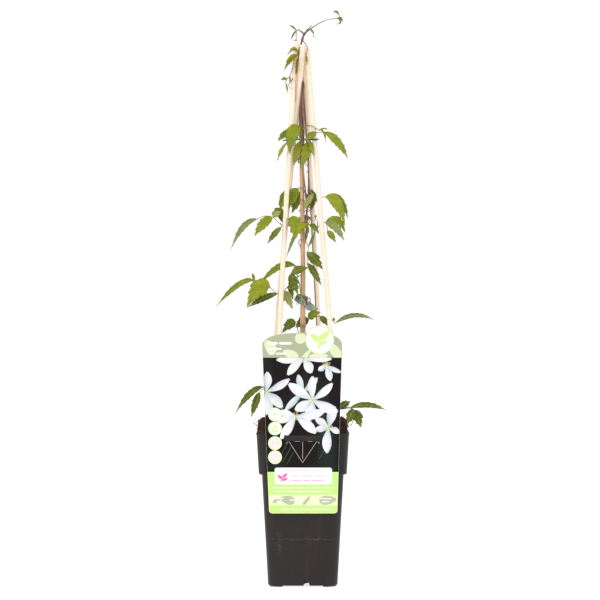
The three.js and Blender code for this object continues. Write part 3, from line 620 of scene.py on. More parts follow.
def makeLooseRoots(material):
    shape = Shape()
    for i, (route, thick) in enumerate(looseRoots):  # thinner and a little knotted towards the end
        addRod(shape, route, lambda t, a, c: thick * (1 - 0.55 * t + 0.12 * math.sin(t * 17)), 8, 0.8,
               tone=0.25, shift=i * 9)
    handOver(shape.make("loose_roots", [material]), "soil")


fibreMaterial = makeSoil()
makeLooseRoots(fibreMaterial)
print("root ball, crumbs and fibres made")

# ---- canes

caneRoutes = {
    "cane_front_left": [(-39.5, -42, 110), (-30.1, -27, 326.4), (-21.3, -14.8, 498.5), (-8.1, 0, 703.8)],
    "cane_front_right": [
        (44, -40, 110), (43.2, -36.2, 216), (34.6, -25.5, 343), (20, -12.8, 518), (5.5, 0.5, 695.5),
    ],
    "cane_back_left": [(-43.5, 40.5, 110), (-34.4, 27.5, 326), (-17, 12.6, 519), (0.3, -4, 700)],
    "cane_back_right": [(33, 43, 110), (20.2, 29, 343), (10.8, 17.3, 519), (-0.5, 4.2, 697)],
}
bambooRoute = [
    (0, 0, 110), (0.1, 0, 369), (0.2, 0, 434), (-1.4, 0.1, 535), (-1.6, -0.3, 612), (-0.5, -1, 639),
    (-0.8, -1.2, 653),
]
cane = {
    "radius": 3.15, "nodeSpacing": 148, "nodeSwell": 0.16, "nodeLength": 3.2, "firstNode": (60, 120),
    "pale": "#f9e9d6", "streak": "#eccba2", "blush": "#f7dcc0", "ring": "#dbb086", "stripBrown": "#6b4730",
    "seed": 5, "fibreMm": 0.45, "fibreLength": 34, "roughness": 0.5, "coat": 0.08,
    "darkStripSide": {"cane_back_right": (-0.95, -0.3)},  # the side that has a darker brown strip down it
    "thickTop": {"cane_back_left": 0.75, "cane_back_right": 0.5, "cane_front_left": 0.3},
}
bamboo = {
    "foot": 4.3, "top": 2.3, "node": 4.8, "nodeReach": 14, "nodeAt": (336, 497),
    # the ring colour darkens the nodes and also paints the shade over the top, between the canes
    "pale": "#c69a6f", "streak": "#99693f", "blush": "#dfb98f", "ring": "#42220f",
    "fibreMm": 0.6, "fibreLength": 45, "roughness": 0.38, "coat": 0.25,
}


def shavedCane(name, kind, darkStripSide=None):
    # cane with its skin shaved or left on: long fibres drawn with the grain, and darker rings at the nodes
    material, tree = newMaterial(name, {
        "Roughness": kind["roughness"], "IOR": 1.5, "Coat Weight": kind["coat"], "Coat Roughness": 0.3,
        "Specular IOR Level": 0.4})
    place, tone = readSurface(tree, "place", "tone")
    across, along = 1 / kind["fibreMm"], 1 / kind["fibreLength"]
    grain = addNode(tree, "Mapping", {"Scale": (across, across, along)}, {0: place})[0]
    fibres = addNode(tree, "TexNoise", {"Scale": 1, "Detail": 4, "Roughness": 0.65}, {0: grain})[0]
    broad = addNode(tree, "Mapping", {"Scale": (0.35, 0.35, 0.012)}, {0: place})[0]
    bands = addNode(tree, "TexNoise", {"Scale": 1, "Detail": 2}, {0: broad})[0]
    flecked = addNode(tree, "MapRange", {1: 0.48, 2: 0.72, 4: 0.75}, {0: fibres})[0]
    blushed = addNode(tree, "MapRange", {1: 0.42, 2: 0.66, 4: 0.85}, {0: bands})[0]
    ground = addNode(tree, "Mix", {"data_type": "RGBA", 6: kind["pale"], 7: kind["blush"]},
                     {0: blushed})[2]
    lined = addNode(tree, "Mix", {"data_type": "RGBA", 7: kind["streak"]}, {0: flecked, 6: ground})[2]
    # the tone darkens the rings and sawn ends, and on the bamboo also paints shade over its top
    ringsAndShade = addNode(tree, "Mix", {"data_type": "RGBA", 7: kind["ring"]}, {0: tone, 6: lined})[2]
    if darkStripSide:  # a darker brown strip down this side
        flat = addNode(tree, "VectorMath", {"operation": "DOT_PRODUCT", 1: (*darkStripSide, 0)},
                       {0: place})["Value"]
        strip = addNode(tree, "MapRange", {1: 0.62 * cane["radius"], 2: 0.8 * cane["radius"], 4: 0.85},
                        {0: flat})[0]
        ringsAndShade = addNode(tree, "Mix", {"data_type": "RGBA", 7: cane["stripBrown"]}, {0: strip, 6: ringsAndShade})[2]
    bump = addNode(tree, "Bump", {"Strength": 0.35, "Distance": 0.00012}, {"Height": fibres})[0]
    return feedShader(material, {"Base Color": ringsAndShade, "Normal": bump})


def makeCanes():
    chance = random.Random(cane["seed"])
    finishes = {side: shavedCane("shavedReedCane", cane, side) for side in (None, *cane["darkStripSide"].values())}
    for i, (name, route) in enumerate(caneRoutes.items()):
        material = finishes[cane["darkStripSide"].get(name)]
        length = (Vector(route[-1]) - Vector(route[0])).length
        first = chance.uniform(*cane["firstNode"])
        nodes = [(first + k * cane["nodeSpacing"]) / length for k in range(5)]
        nodes = [share for share in nodes if share < 1]

        def closeness(t):
            return max((1 - abs(t - n) * length / cane["nodeLength"] for n in nodes), default=0)

        def radiusAt(t, angle, centre):
            swell = cane["nodeSwell"] * max(0, closeness(t))
            uneven = 0.07 * noise.noise(Vector((t * 9 + i * 5, math.cos(angle) * 0.6, math.sin(angle) * 0.6)))
            wider = cane["thickTop"].get(name, 0) * ease(540, 610, centre.z)
            return cane["radius"] + swell + uneven + wider

        def toneAt(t):  # darker rings, and the sawn ends
            cut = 0.45 if t < 0.008 or t > 0.992 else 0
            return max(cut, 0.5 * max(0, closeness(t) * 2 - 1))

        shape = Shape()
        addRod(shape, route, radiusAt, 28, 3, 0, toneAt, i * 700, sawnEnd, True)
        handOver(shape.make(name.replace("cane", "reed"), [material], 30), "cane", name)


def makeBamboo():
    material = shavedCane("waxyBambooSkin", bamboo)

    def closeness(z, reach):
        return max(max(0, 1 - abs(z - at) / reach) for at in bamboo["nodeAt"])

    def radiusAt(t, angle, centre):
        z, node = centre.z, bamboo["nodeAt"][0]
        swell = (bamboo["node"] - bamboo["foot"]) * closeness(z, bamboo["nodeReach"]) ** 2
        ridge = 0.28 * max(0, 1 - abs(z - node + 1.5) / 1.6)
        groove = -0.25 * max(0, 1 - abs(z - node - 1.8) / 1.4)
        worn = 1.1 * ease(612, 645, z) - 0.75 * ease(560, 598, z) * ease(632, 606, z)  # split and frayed top
        return bamboo["foot"] + (bamboo["top"] - bamboo["foot"]) * t + swell + ridge + groove - worn

    def toneAt(t):  # rings at the nodes, darker towards the bottom, and painted shade over the top where the canes close round it
        z = bambooRoute[0][2] + t * (bambooRoute[-1][2] - bambooRoute[0][2])
        return 0.5 * closeness(z, 3.5) + 0.25 * ease(352, 332, z) + 0.9 * ease(570, 600, z)

    shape = Shape()
    addRod(shape, bambooRoute, radiusAt, 32, 1.2, 0, toneAt, 4000, sawnEnd, True)
    handOver(shape.make("bamboo_cane", [material], 30), "bamboo", "centre_cane")


makeCanes()
makeBamboo()
print("canes made")

# ---- wire tie

tieRoute = [
    (-25.5, -12.5, 575.5), (-21, -14.2, 576.2), (-16, -14.9, 576.8), (0, -15, 577), (14, -14.6, 577),
    (19, -12.4, 577.2), (20, -8.5, 577.4), (16.6, 4, 577.8), (12.2, 14, 578.2), (7.4, 18.1, 578.5),
    (1.5, 17.2, 578.8), (-13, 12.8, 579.2), (-16.6, 8, 579.4), (-20.6, -6, 579.6),
    (-21.4, -10.5, 579.7), (-18.6, -14.2, 579.6), (-12, -15.2, 579.4), (-6, -15.6, 579.6),
]
wire = {"radius": 1.05, "green": "#2aa07a", "dark": "#0f3d2d"}


def coatedWire():
    # soft steel wire in a green vinyl coat, drawn and bent by hand: smooth, with a soft narrow gloss
    material, tree = newMaterial("vinylCoatedWire", {"Roughness": 0.34, "IOR": 1.53})
    place, tone = readSurface(tree, "place", "tone")
    uneven = addNode(tree, "TexNoise", {"Scale": 0.5, "Detail": 3}, {0: place})[0]
    spread = addNode(tree, "Math", {"operation": "MULTIPLY_ADD", 1: 0.5}, {0: uneven, 2: tone})[0]
    colour = addNode(tree, "ValToRGB", {"stops": [(0.35, wire["dark"]), (0.75, wire["green"])]},
                     {0: spread})[0]
    bump = addNode(tree, "Bump", {"Strength": 0.3, "Distance": 0.0001}, {"Height": uneven})[0]
    return feedShader(material, {"Base Color": colour, "Normal": bump})


def makeTie():
    shape = Shape()
    addRod(shape, tieRoute, lambda t, a, c: wire["radius"] * (1 + 0.03 * math.sin(t * 60)), 14, 0.9,
           tone=lambda t: 0.5 - 0.5 * ease(0.16, 0.2, t) * ease(0.36, 0.3, t), ends=sawnEnd)
    handOver(shape.make("green_wire_tie", [coatedWire()]), "wire", "wire_tie")


makeTie()
print("tie bent")

# ---- film band

film = {
    "thickness": 0.35, "pale": "#8a9d74", "deep": "#3f4d3c", "cloudMm": 6, "creaseMm": 1.6,
    "band": [  # the closed loop round cane and stems, seen from above, pinched flat at the left
        (5.8, -3.6), (3.4, -4.0), (0.7, -4.1), (0.1, -4.8), (-0.5, -4.1), (-1.5, -4.1), (-2.1, -4.8),
        (-2.7, -4.0), (-6.0, -2.2), (-9.0, -1.0), (-11.2, -0.3), (-9.0, 0.5), (-6.0, 2.6), (-3.8, 5.8),
        (-1.0, 7.0), (2.4, 6.8), (5.2, 4.8), (6.4, 0.6),
    ],
    # the edges of the band and of its tail, as x and z
    "bandTop": ((-11.3, 370.0), (-6.8, 377.4), (6.5, 373.8)),
    "bandBottom": ((-11.3, 369.0), (-6.2, 364.6), (6.5, 360.0)),
    "tail": [(2.7, -4.5), (6, -5.2), (9, -6.0), (13, -6.9), (17, -7.6), (19.7, -8)],
    "tailTop": ((2.7, 361), (8.9, 367), (19.8, 358.2)),
    "tailBottom": ((2.7, 360), (5.5, 355.5), (17.8, 354.8), (19.8, 357.4)),
}


def levelAt(x, steps):  # the height at x between listed points
    for (x0, z0), (x1, z1) in zip(steps, steps[1:]):
        if x < x1:
            break
    return z0 + (z1 - z0) * (x - x0) / (x1 - x0)


def polytheneFilm():
    # thin grey-green polythene, blown and pulled tight: see-through at the edges, with sharp long glints
    material, tree = newMaterial("polytheneFilm", {
        "Roughness": 0.22, "IOR": 1.51, "Transmission Weight": 0.3, "Specular IOR Level": 0.8,
        "Coat Weight": 1.0, "Coat Roughness": 0.12})
    where, = readSurface(tree, "where")
    cloud = addNode(tree, "TexNoise", {"Scale": perSize(film["cloudMm"]), "Detail": 4}, {0: where})[0]
    colour = addNode(tree, "ValToRGB", {"stops": [(0.3, film["deep"]), (0.65, film["pale"])]}, {0: cloud})[0]
    creases = addNode(tree, "Mapping", {"Scale": (1, 1, 0.25)}, {0: where})[0]
    folds = addNode(tree, "TexNoise", {"Scale": perSize(film["creaseMm"]), "Detail": 2}, {0: creases})[0]
    bump = addNode(tree, "Bump", {"Strength": 0.5, "Distance": 0.0003}, {"Height": folds})[0]
    return feedShader(material, {"Base Color": colour, "Normal": bump})


def addSheet(shape, line, tops, bottoms, closed, thickness):  # an upright sheet along a line
    points, faces, count = [], [], len(line)
    for i, (x, y) in enumerate(line):
        before = Vector(line[i - 1] if closed or i else line[i])
        after = Vector(line[(i + 1) % count] if closed or i < count - 1 else line[i])
        out = Vector((after.y - before.y, before.x - after.x)).normalized() * thickness / 2
        for side in (1, -1):
            for step in range(5):
                z = bottoms[i] + (tops[i] - bottoms[i]) * step / 4
                bow = 0.25 * math.sin(step / 4 * math.pi) * math.sin(i * 1.9)
                points.append((x + out.x * side + bow * 0.2, y + out.y * side - bow, z))
    for i in range(count if closed else count - 1):
        a, b = i * 10, (i + 1) % count * 10
        for step in range(4):
            faces.append((a + step, a + step + 1, b + step + 1, b + step))
            faces.append((a + 5 + step, b + 5 + step, b + 6 + step, a + 6 + step))
        faces.append((a, b, b + 5, a + 5))
        faces.append((a + 4, a + 9, b + 9, b + 4))
    if not closed:
        for a in (0, (count - 1) * 10):
            faces.extend((a + step, a + 5 + step, a + 6 + step, a + 1 + step) for step in range(4))
    shape.add(points, faces)


def makeFilm():
    shape = Shape()
    flat = [(x, y, 0) for x, y in film["band"]]
    loop = [(p.x, p.y) for p in smoothRoute(flat + [flat[0]], 1)][:-1]
    tops = [levelAt(x, film["bandTop"]) for x, _ in loop]
    bottoms = [levelAt(x, film["bandBottom"]) for x, _ in loop]
    addSheet(shape, loop, tops, bottoms, True, film["thickness"])
    for shift in (0, 0.5):  # the two ends of the strip are pressed together as the tail
        tail = [(p.x, p.y + shift) for p in smoothRoute([(x, y, 0) for x, y in film["tail"]], 0.8)]
        addSheet(shape, tail, [levelAt(x, film["tailTop"]) - shift for x, _ in tail],
                 [levelAt(x, film["tailBottom"]) for x, _ in tail], False, film["thickness"])
    handOver(shape.make("film_band", [polytheneFilm()], 50), "film", "grower_tape")


makeFilm()
print("film wrapped")

# ---- label card

card = {
    "back": -60.5, "thickness": 0.8, "corner": 5, "bottom": 95.8, "bottomLeft": -43.3, "bottomRight": 44.4,
    "shoulder": 313, "shoulderLeft": -52.1, "shoulderRight": 50.4, "crownLeft": (-31.8, 324.8),
    "crownRight": (39.3, 323.6), "badge": (21.6, 317.8, 18.6), "badgeLeft": (5.4, 327),
    "window": (-24.4, 24.9, 188.0, 196.1),  # left, right, low and high
    "headerLine": 295.2, "baseLine": 148.8, "seed": 21, "plastic": "#e9ecd9",
    "layer": 0.012,  # each layer of ink lies this much in front of the one below
}
inks = {
    "white": "#f2f2f0", "sage": "#a8ae89", "mist": "#dae4bb", "night": "#160d0e", "lime": "#c3ef7e",
    "limeBright": "#d4fb8c", "pink": "#f6a9c8", "blush": "#f1dde5", "print": "#f1f7dc", "sprig": "#cdf77f",
    "grey": "#b9b3b2", "band": "#e7f0c2", "sageDark": "#b3bd93", "rose": "#ee5fa6", "filament": "#ebe9b8",
    "pistil": "#a8bf55", "stalk": "#3f6650",
}
inkNames = [*inks, "night ground", "petal"]  # in the order of the card's materials


def printedInk(name, colour, roughness=0.36):
    # screen-printed ink on smooth plastic: even and slightly glossy, with a fine dot grain
    material, tree = newMaterial("printedInk_" + name, {"Roughness": roughness, "IOR": 1.5})
    where, = readSurface(tree, "where")
    dots = addNode(tree, "TexNoise", {"Scale": perSize(0.5), "Detail": 2}, {0: where})[0]
    share = addNode(tree, "MapRange", {1: 0.3, 2: 0.7, 4: 0.06}, {0: dots})[0]
    mixed = addNode(tree, "Mix", {"data_type": "RGBA", 6: colour, 7: (0.5, 0.5, 0.45, 1)}, {0: share})[2]
    return feedShader(material, {"Base Color": mixed})


def printedNight():
    # the dark ground of the picture, printed from a soft-focus photograph: brown-black with dim green clouds
    material, tree = newMaterial("printedInk_nightGround", {
        "Roughness": 0.3, "IOR": 1.5, "Specular IOR Level": 0.1})
    where, = readSurface(tree, "where")
    slanted = addNode(tree, "Mapping", {"Rotation": (0, 0.6, 0), "Scale": (1, 1, 0.45)}, {0: where})[0]
    cloud = addNode(tree, "TexNoise", {"Scale": perSize(42), "Detail": 2, "Roughness": 0.4}, {0: slanted})[0]
    stops = [(0.5, inks["night"]), (0.64, "#1b2a24"), (0.78, "#2a4c40")]
    colour = addNode(tree, "ValToRGB", {"stops": stops}, {0: cloud})[0]
    return feedShader(material, {"Base Color": colour})


def printedPetal():
    # petals printed from a photograph: white, cool grey towards the middle, with fine lines along them
    material, tree = newMaterial("printedInk_petal", {"Roughness": 0.36, "IOR": 1.5})
    place, tone = readSurface(tree, "place", "tone")
    parts = addNode(tree, "SeparateXYZ", {}, {0: place})
    depth = addNode(tree, "MapRange", {1: 0.0, 2: 0.5, 3: 0.75, 4: 0}, {0: parts["X"]})[0]
    halfShade = addNode(tree, "MapRange", {1: -0.2, 2: 0.9, 4: 0.5}, {0: parts["Y"]})[0]
    stretched = addNode(tree, "Mapping", {"Scale": (0.9, 6, 1)}, {0: place})[0]
    lines = addNode(tree, "TexNoise", {"Scale": 1, "Detail": 3}, {0: stretched})[0]
    together = addNode(tree, "Math", {"operation": "ADD"}, {0: depth, 1: halfShade})[0]
    shade = addNode(tree, "Math", {"operation": "MULTIPLY"}, {0: together, 1: lines})[0]
    both = addNode(tree, "Math", {"operation": "MULTIPLY_ADD", 1: 0.5}, {0: tone, 2: shade})[0]
    stops = [(0.06, "#f4edf2"), (0.28, "#e2e1e7"), (0.52, "#bfced3"), (0.85, "#8ca29d")]
    colour = addNode(tree, "ValToRGB", {"stops": stops}, {0: both})[0]
    return feedShader(material, {"Base Color": colour})


def bend(a, b, c, steps=12):  # a quadratic curve from a to c, without its first point
    line = []
    for i in range(1, steps + 1):
        t = i / steps
        line.append(tuple(p * (1 - t) ** 2 + q * 2 * t * (1 - t) + r * t * t for p, q, r in zip(a, b, c)))
    return line


def cardOutline():
    bottom, left, right, r = card["bottom"], card["bottomLeft"], card["bottomRight"], card["corner"]
    shoulder, shoulderLeft, shoulderRight = card["shoulder"], card["shoulderLeft"], card["shoulderRight"]
    crownLeft, crownRight, badgeLeft = card["crownLeft"], card["crownRight"], card["badgeLeft"]
    bx, bz, radius = card["badge"]
    line = [(left + r, bottom), (right - r, bottom)]
    line += bend((right - r, bottom), (right, bottom), (right, bottom + r))
    line += [(shoulderRight, shoulder)]
    line += bend((shoulderRight, shoulder), (shoulderRight - 1.9, shoulder + 7), crownRight)
    start = math.atan2(crownRight[1] - bz, crownRight[0] - bx)
    stop = math.atan2(badgeLeft[1] - bz, badgeLeft[0] - bx)
    for i in range(41):
        angle = start + (stop - start) * i / 40
        line.append((bx + math.cos(angle) * radius, bz + math.sin(angle) * radius))
    line += bend(badgeLeft, (-16, badgeLeft[1] + 0.5), crownLeft)
    line += bend(crownLeft, (shoulderLeft + 4.1, shoulder + 9), (shoulderLeft, shoulder))
    line += [(left, bottom + r)]
    return line + bend((left, bottom + r), (left, bottom), (left + r, bottom))[:-1]


def clipLine(line, axis, limit, keepAbove):  # what is left of an outline beside a level or upright line
    kept = []
    for p, q in zip(line, line[1:] + line[:1]):
        inP, inQ = ((v[axis] >= limit) == keepAbove for v in (p, q))
        if inP:
            kept.append(p)
        if inP != inQ:
            t = (limit - p[axis]) / (q[axis] - p[axis])
            kept.append((p[0] + (q[0] - p[0]) * t, p[1] + (q[1] - p[1]) * t))
    return kept


def insetOutline(line, amount):  # the outline drawn in by a fixed amount
    inner = []
    for i, p in enumerate(line):
        before, after = Vector(line[i - 1]), Vector(line[(i + 1) % len(line)])
        out = Vector((after.y - before.y, before.x - after.x)).normalized()
        inner.append((p[0] - out.x * amount, p[1] - out.y * amount))
    return inner


def addPrint(shape, line, layer, ink):  # a closed film of ink over the card
    front = card["back"] - card["thickness"]
    rings = [[(x, y, z) for x, z in line] for y in (front + 0.03, front - card["layer"] * (layer + 1))]
    shape.add(*loftRings(rings), inkNames.index(ink))


def turned(x, z, u, v, angle):  # u along and v across an angle at x and z
    return x + u * math.cos(angle) - v * math.sin(angle), z + u * math.sin(angle) + v * math.cos(angle)


def ovalLine(x, z, length, width, angle, steps=28, point=0.0):  # an oval, or a petal when point is over 0
    line = []
    for i in range(steps):
        turn = i / steps * math.tau
        across = math.sin(turn) * width / 2 * (1 - point * math.cos(turn))
        line.append(turned(x, z, math.cos(turn) * length / 2, across, angle))
    return line


def arcLine(x, z, radius, start, steps):  # six of the steps of a half turn, from start in half turns
    turns = [math.pi * (start + i / steps) for i in range(7)]
    return [(x + math.cos(turn) * radius, z + math.sin(turn) * radius) for turn in turns]


def barLine(x0, x1, z, height):  # a short bar with round ends
    r = height / 2
    return arcLine(x0 + r, z, r, 0.5, 6) + arcLine(x1 - r, z, r, -0.5, 6)


def strokeLine(a, b, width):  # a thin straight line as an outline
    side = Vector((a[1] - b[1], b[0] - a[0])).normalized() * width / 2
    return [(a[0] + side.x, a[1] + side.y), (b[0] + side.x, b[1] + side.y),
            (b[0] - side.x, b[1] - side.y), (a[0] - side.x, a[1] - side.y)]


def addOvals(shape, rows, layer, ink, steps, point=0.0):  # rows of x, z, length, width and angle
    for row in rows:
        addPrint(shape, ovalLine(*row, steps, point), layer, ink)


def addBars(shape, rows, layer, ink):  # rows of x from and to, z and height
    for row in rows:
        addPrint(shape, barLine(*row), layer, ink)


blossoms = [  # middle, shade and the petals as tip and width, laid back to front
    (30, 286, 0.4, ((35.5, 265.5, 9), (49, 276.5, 6), (20, 279, 7))),
    (-47, 251.5, 0.35, ((-45.5, 277, 11), (-45, 222, 15), (-26, 231, 12), (-17, 268, 9.5))),
    (1.5, 252, 0.5, ((-6, 273.5, 8.5), (18.5, 269.5, 9), (-23, 227, 8))),
    (33, 205.5, 0.35, ((41, 233, 12), (16, 217, 9), (47, 199, 8), (16, 203, 8.5), (31, 173, 12))),
    (0.9, 293.5, 0.1, (
        (-20, 300, 11), (22, 300, 11), (-34, 292.5, 9), (37, 293.5, 9), (-19.5, 273, 10.5), (11, 275.5, 12))),
    (12.5, 241, 0.1, (
        (45, 226, 13), (8, 214, 14), (-10, 228, 13), (38, 262.5, 10), (12.5, 271.5, 10.5), (-18.5, 262, 13))),
    (-9, 220, 0.05, ((-33, 213, 9), (-29, 227, 10), (28.5, 227, 12), (-28.5, 191, 11.5), (17, 198.5, 12.5))),
]
blossom = {"steps": 16, "columns": 6, "filaments": 20, "filamentReach": (3.4, 6.2), "firstLayer": 4}


def addPetal(shape, x, z, angle, length, width, layer, tone):  # widest past the middle, bluntly pointed
    steps, columns, points, places = blossom["steps"], blossom["columns"], [], []
    skew = 0.05 * length * math.sin(layer * 2.3)
    for deep in (card["layer"] * (layer + 1), -0.03):
        for i in range(steps + 1):
            t = i / steps
            half = max(0.35, width / 2 * math.sin(math.pi * min(0.985, t) ** 1.25) ** 0.72)
            for j in range(columns + 1):
                c = j / columns * 2 - 1
                u = t * length - 0.06 * length * t ** 8 * (1 - abs(c)) + 0.4
                px, pz = turned(x, z, u, c * half + skew * math.sin(t * math.pi), angle)
                points.append((px, card["back"] - card["thickness"] - deep, pz))
                places.append((t, c, layer * 3.7))
    top, bottom, rim = closedSheet(steps + 1, columns + 1)
    faces = [face for pair in zip(top, bottom) for face in pair] + rim
    shape.add(points, faces, inkNames.index("petal"), places, tone)


def addBlossoms(materials, chance):
    shape, layer = Shape(), blossom["firstLayer"]
    for x, z, shade, petals in blossoms:
        for tipX, tipZ, width in petals:
            angle, length = math.atan2(tipZ - z, tipX - x), math.hypot(tipX - x, tipZ - z)
            addPetal(shape, x, z, angle, length, width, layer, shade + chance.uniform(0, 0.2))
            layer += 1
        for k in range(blossom["filaments"]):
            angle = k / blossom["filaments"] * math.tau + chance.uniform(-0.12, 0.12)
            far = chance.uniform(*blossom["filamentReach"])
            tip = (x + math.cos(angle) * far, z + math.sin(angle) * far)
            addPrint(shape, strokeLine((x, z), tip, 0.3), layer, "filament")
            addPrint(shape, ovalLine(*tip, 0.9, 0.7, angle, 8), layer + 1, "filament")
        addPrint(shape, ovalLine(x, z, 2.6, 2.4, 0, 16), layer + 2, "pistil")
        layer += 3
    piece = shape.make("card_blossoms", materials, 30)
    work = bmesh.new()  # the picture is trimmed at the card's slanted sides and under the header
    work.from_mesh(piece.data)
    low, high, inset = card["bottom"], card["shoulder"], 0.4
    for foot, top, way in ((card["bottomLeft"] + inset, card["shoulderLeft"] + inset, -1),
                           (card["bottomRight"] - inset, card["shoulderRight"] - inset, 1)):
        trimEnd(work, Vector((foot, 0, low)), Vector((high - low, 0, foot - top)) * way)
    trimEnd(work, Vector((0, 0, card["headerLine"] - 0.1)), Vector((0, 0, 1)))
    work.to_mesh(piece.data)
    work.free()
    handOver(piece, "card")


def trimEnd(work, point, outward):  # cuts off what lies beyond a plane and closes the cut
    bmesh.ops.bisect_plane(work, geom=work.verts[:] + work.edges[:] + work.faces[:], plane_co=point * mm,
                           plane_no=outward, clear_outer=True, dist=1e-7)
    bmesh.ops.holes_fill(work, edges=[edge for edge in work.edges if edge.is_boundary])


header = {  # ovals as x, z, length, width and angle, and bars as x from and to, z and height
    "pales": ((-42, 309, 20, 13, 2.2), (-15.5, 299.5, 21, 11, 2.75), (-3, 321, 16, 13.5, 1.45),
              (41, 304, 25, 12, 2.2), (20, 296.5, 24, 9, 0.1), (4, 298, 17, 6, 0.9)),
    "paleTop": 326, "paleInset": 1.2,
    "bars": ((-44, -32, 313.6, 3.4), (-30.5, -14, 313.6, 3.4), (-44, -27, 306.4, 2.4), (-44, -36, 300.4, 2.4),
             (-34.6, -21, 300.4, 2.4)),
    "badgeWhite": 34.4, "sproutStem": ((-1, -11.5), (0.6, 1.5), 2.4),  # given from the badge's middle
    "sproutLeaves": ((-6.2, 3.4, 15, 7.4, 2.55), (6.8, 6.2, 16, 7.8, 0.75), (4.6, -3.6, 10, 4.6, 0.35)),
}


def addHeader(shape):
    left, right = card["shoulderLeft"] + header["paleInset"], card["shoulderRight"] - header["paleInset"]
    for row in header["pales"]:
        pale = ovalLine(*row, 32, 0.2)
        for axis, limit, keepAbove in ((1, card["headerLine"], True), (0, left, True), (0, right, False),
                                       (1, header["paleTop"], False)):
            pale = clipLine(pale, axis, limit, keepAbove)
        addPrint(shape, pale, 2, "mist")
    addBars(shape, header["bars"], 3, "white")
    x, z, radius = card["badge"]
    for across, layer, ink in ((radius * 2 - 0.6, 4, "mist"), (header["badgeWhite"], 5, "white")):
        addPrint(shape, ovalLine(x, z, across, across, 0, 64), layer, ink)
    (x0, z0), (x1, z1), width = header["sproutStem"]
    addPrint(shape, strokeLine((x + x0, z + z0), (x + x1, z + z1), width), 6, "sprig")
    leaves = [(x + dx, z + dz, *rest) for dx, dz, *rest in header["sproutLeaves"]]
    addOvals(shape, leaves, 7, "sprig", 28, 0.3)


icons = {"x": -35.6, "heights": (222.5, 204.6, 185.7, 167.8), "ring": 17.6, "disc": 15.8, "layer": 110}


def addIcons(shape):
    x, layer, upright = icons["x"], icons["layer"], math.pi / 2
    sun, drop, leaves = icons["heights"][:3]
    for z in icons["heights"]:
        addPrint(shape, ovalLine(x, z, icons["ring"], icons["ring"], 0, 40), layer, "limeBright")
        ink = "white" if z in (sun, drop) else "blush"
        addPrint(shape, ovalLine(x, z, icons["disc"], icons["disc"], 0, 40), layer + 1, ink)
        if z == sun:
            addPrint(shape, ovalLine(x, z, 5, 5, 0, 20), layer + 2, "mist")
            for near, far in zip(circleLine(x, z, 3.6, 8), circleLine(x, z, 5.6, 8)):
                addPrint(shape, strokeLine(near, far, 0.7), layer + 2, "mist")
        elif z == drop:
            addPrint(shape, ovalLine(x, z - 0.6, 9.6, 6.4, upright, 24, 0.55), layer + 2, "limeBright")
            addPrint(shape, ovalLine(x + 0.4, z - 1.6, 4.2, 3, upright, 16, 0.4), layer + 3, "white")
        elif z == leaves:
            addOvals(shape, [(x + 2.6 * side, z + 0.6, 6.4, 3, upright - side * 0.7) for side in (-1, 1)],
                     layer + 2, "mist", 20, 0.3)
        else:
            addBars(shape, [(x - 4.2, x + 4.2, z - 3 + k * 3, 1.1) for k in range(3)], layer + 2, "mist")


baseZone = {
    "panel": (-36.1, 37.4, 132.9, 154.4), "panelCorner": 3, "panelLine": (-26, 28, 151.2, 0.7),
    "twig": ((-27.5, 136), (-25.5, 144.5), 1.3),
    "twigLeaves": (
        (-29.4, 142.6, 7.4, 3.6, 2.4), (-22.6, 144.6, 7.4, 3.6, 0.8), (-22.8, 139.6, 7.4, 3.6, 0.3)),
    "blushBars": ((-14, -5, 143.6, 3.4), (-3, 12, 143.6, 3.4), (14, 30, 143.6, 3.4)),
    "pinkBars": ((-14, -2, 138, 1.5), (0, 9, 138, 1.5), (11, 27, 138, 1.5)),
    "smallPrint": (  # z, from, to, stop short by, lengths, height, space between and unevenness
        (128.6, -39, 39.5, 3, (2.6, 8.5), 1.5, 1.0, 0.1), (123.9, -38, 37, 3, (2.6, 8.5), 1.5, 1.0, 0.1)),
    "lastPrint": (101.2, -28, 36, 6, (1.8, 6), 1.4, 0.9, 0),
    "band": ((-43.0, 106), (44.2, 106), (44.4, 119.4), (-43.4, 119.4)),
    "bandShades": ((-33, 112.6, 12, 5, 0.5), (-19.5, 113, 19, 11, 2.9), (5, 112.4, 15, 4, 0.9),
                   (32, 112.8, 22, 11.4, 0.1)),
    "bandBars": ((-36, -24, 114.8, 1.3), (-34, -26, 111, 1.3), (-17, -6, 113, 1.3), (22, 37, 114.6, 1.3),
                 (24, 34, 110.8, 1.3)),
}


def addSmallPrint(shape, chance, z, low, high, stop, lengths, height, space, uneven):
    x = low  # rows of short bars stand for small print
    while x < high - stop:
        reach = min(chance.uniform(*lengths), high - x)
        lift = chance.uniform(-uneven, uneven) if uneven else 0
        addPrint(shape, barLine(x, x + reach, z + lift, height), 3, "print")
        x += reach + space


def addBaseZone(shape, chance):
    left, right, low, high = baseZone["panel"]
    r, panel = baseZone["panelCorner"], []
    middles = (left + r, low + r), (right - r, low + r), (right - r, high - r), (left + r, high - r)
    for k, (x, z) in enumerate(middles):
        panel += arcLine(x, z, r, 1 + k / 2, 12)
    addPrint(shape, panel, 3, "white")
    addPrint(shape, barLine(*baseZone["panelLine"]), 4, "pink")
    addPrint(shape, strokeLine(*baseZone["twig"]), 4, "rose")
    addOvals(shape, baseZone["twigLeaves"], 5, "rose", 20, 0.3)
    addBars(shape, baseZone["blushBars"], 4, "blush")
    addBars(shape, baseZone["pinkBars"], 4, "pink")
    for row in baseZone["smallPrint"]:
        addSmallPrint(shape, chance, *row)
    addPrint(shape, baseZone["band"], 3, "band")
    addOvals(shape, baseZone["bandShades"], 4, "sageDark", 24, 0.3)
    addBars(shape, baseZone["bandBars"], 5, "white")
    addSmallPrint(shape, chance, *baseZone["lastPrint"])


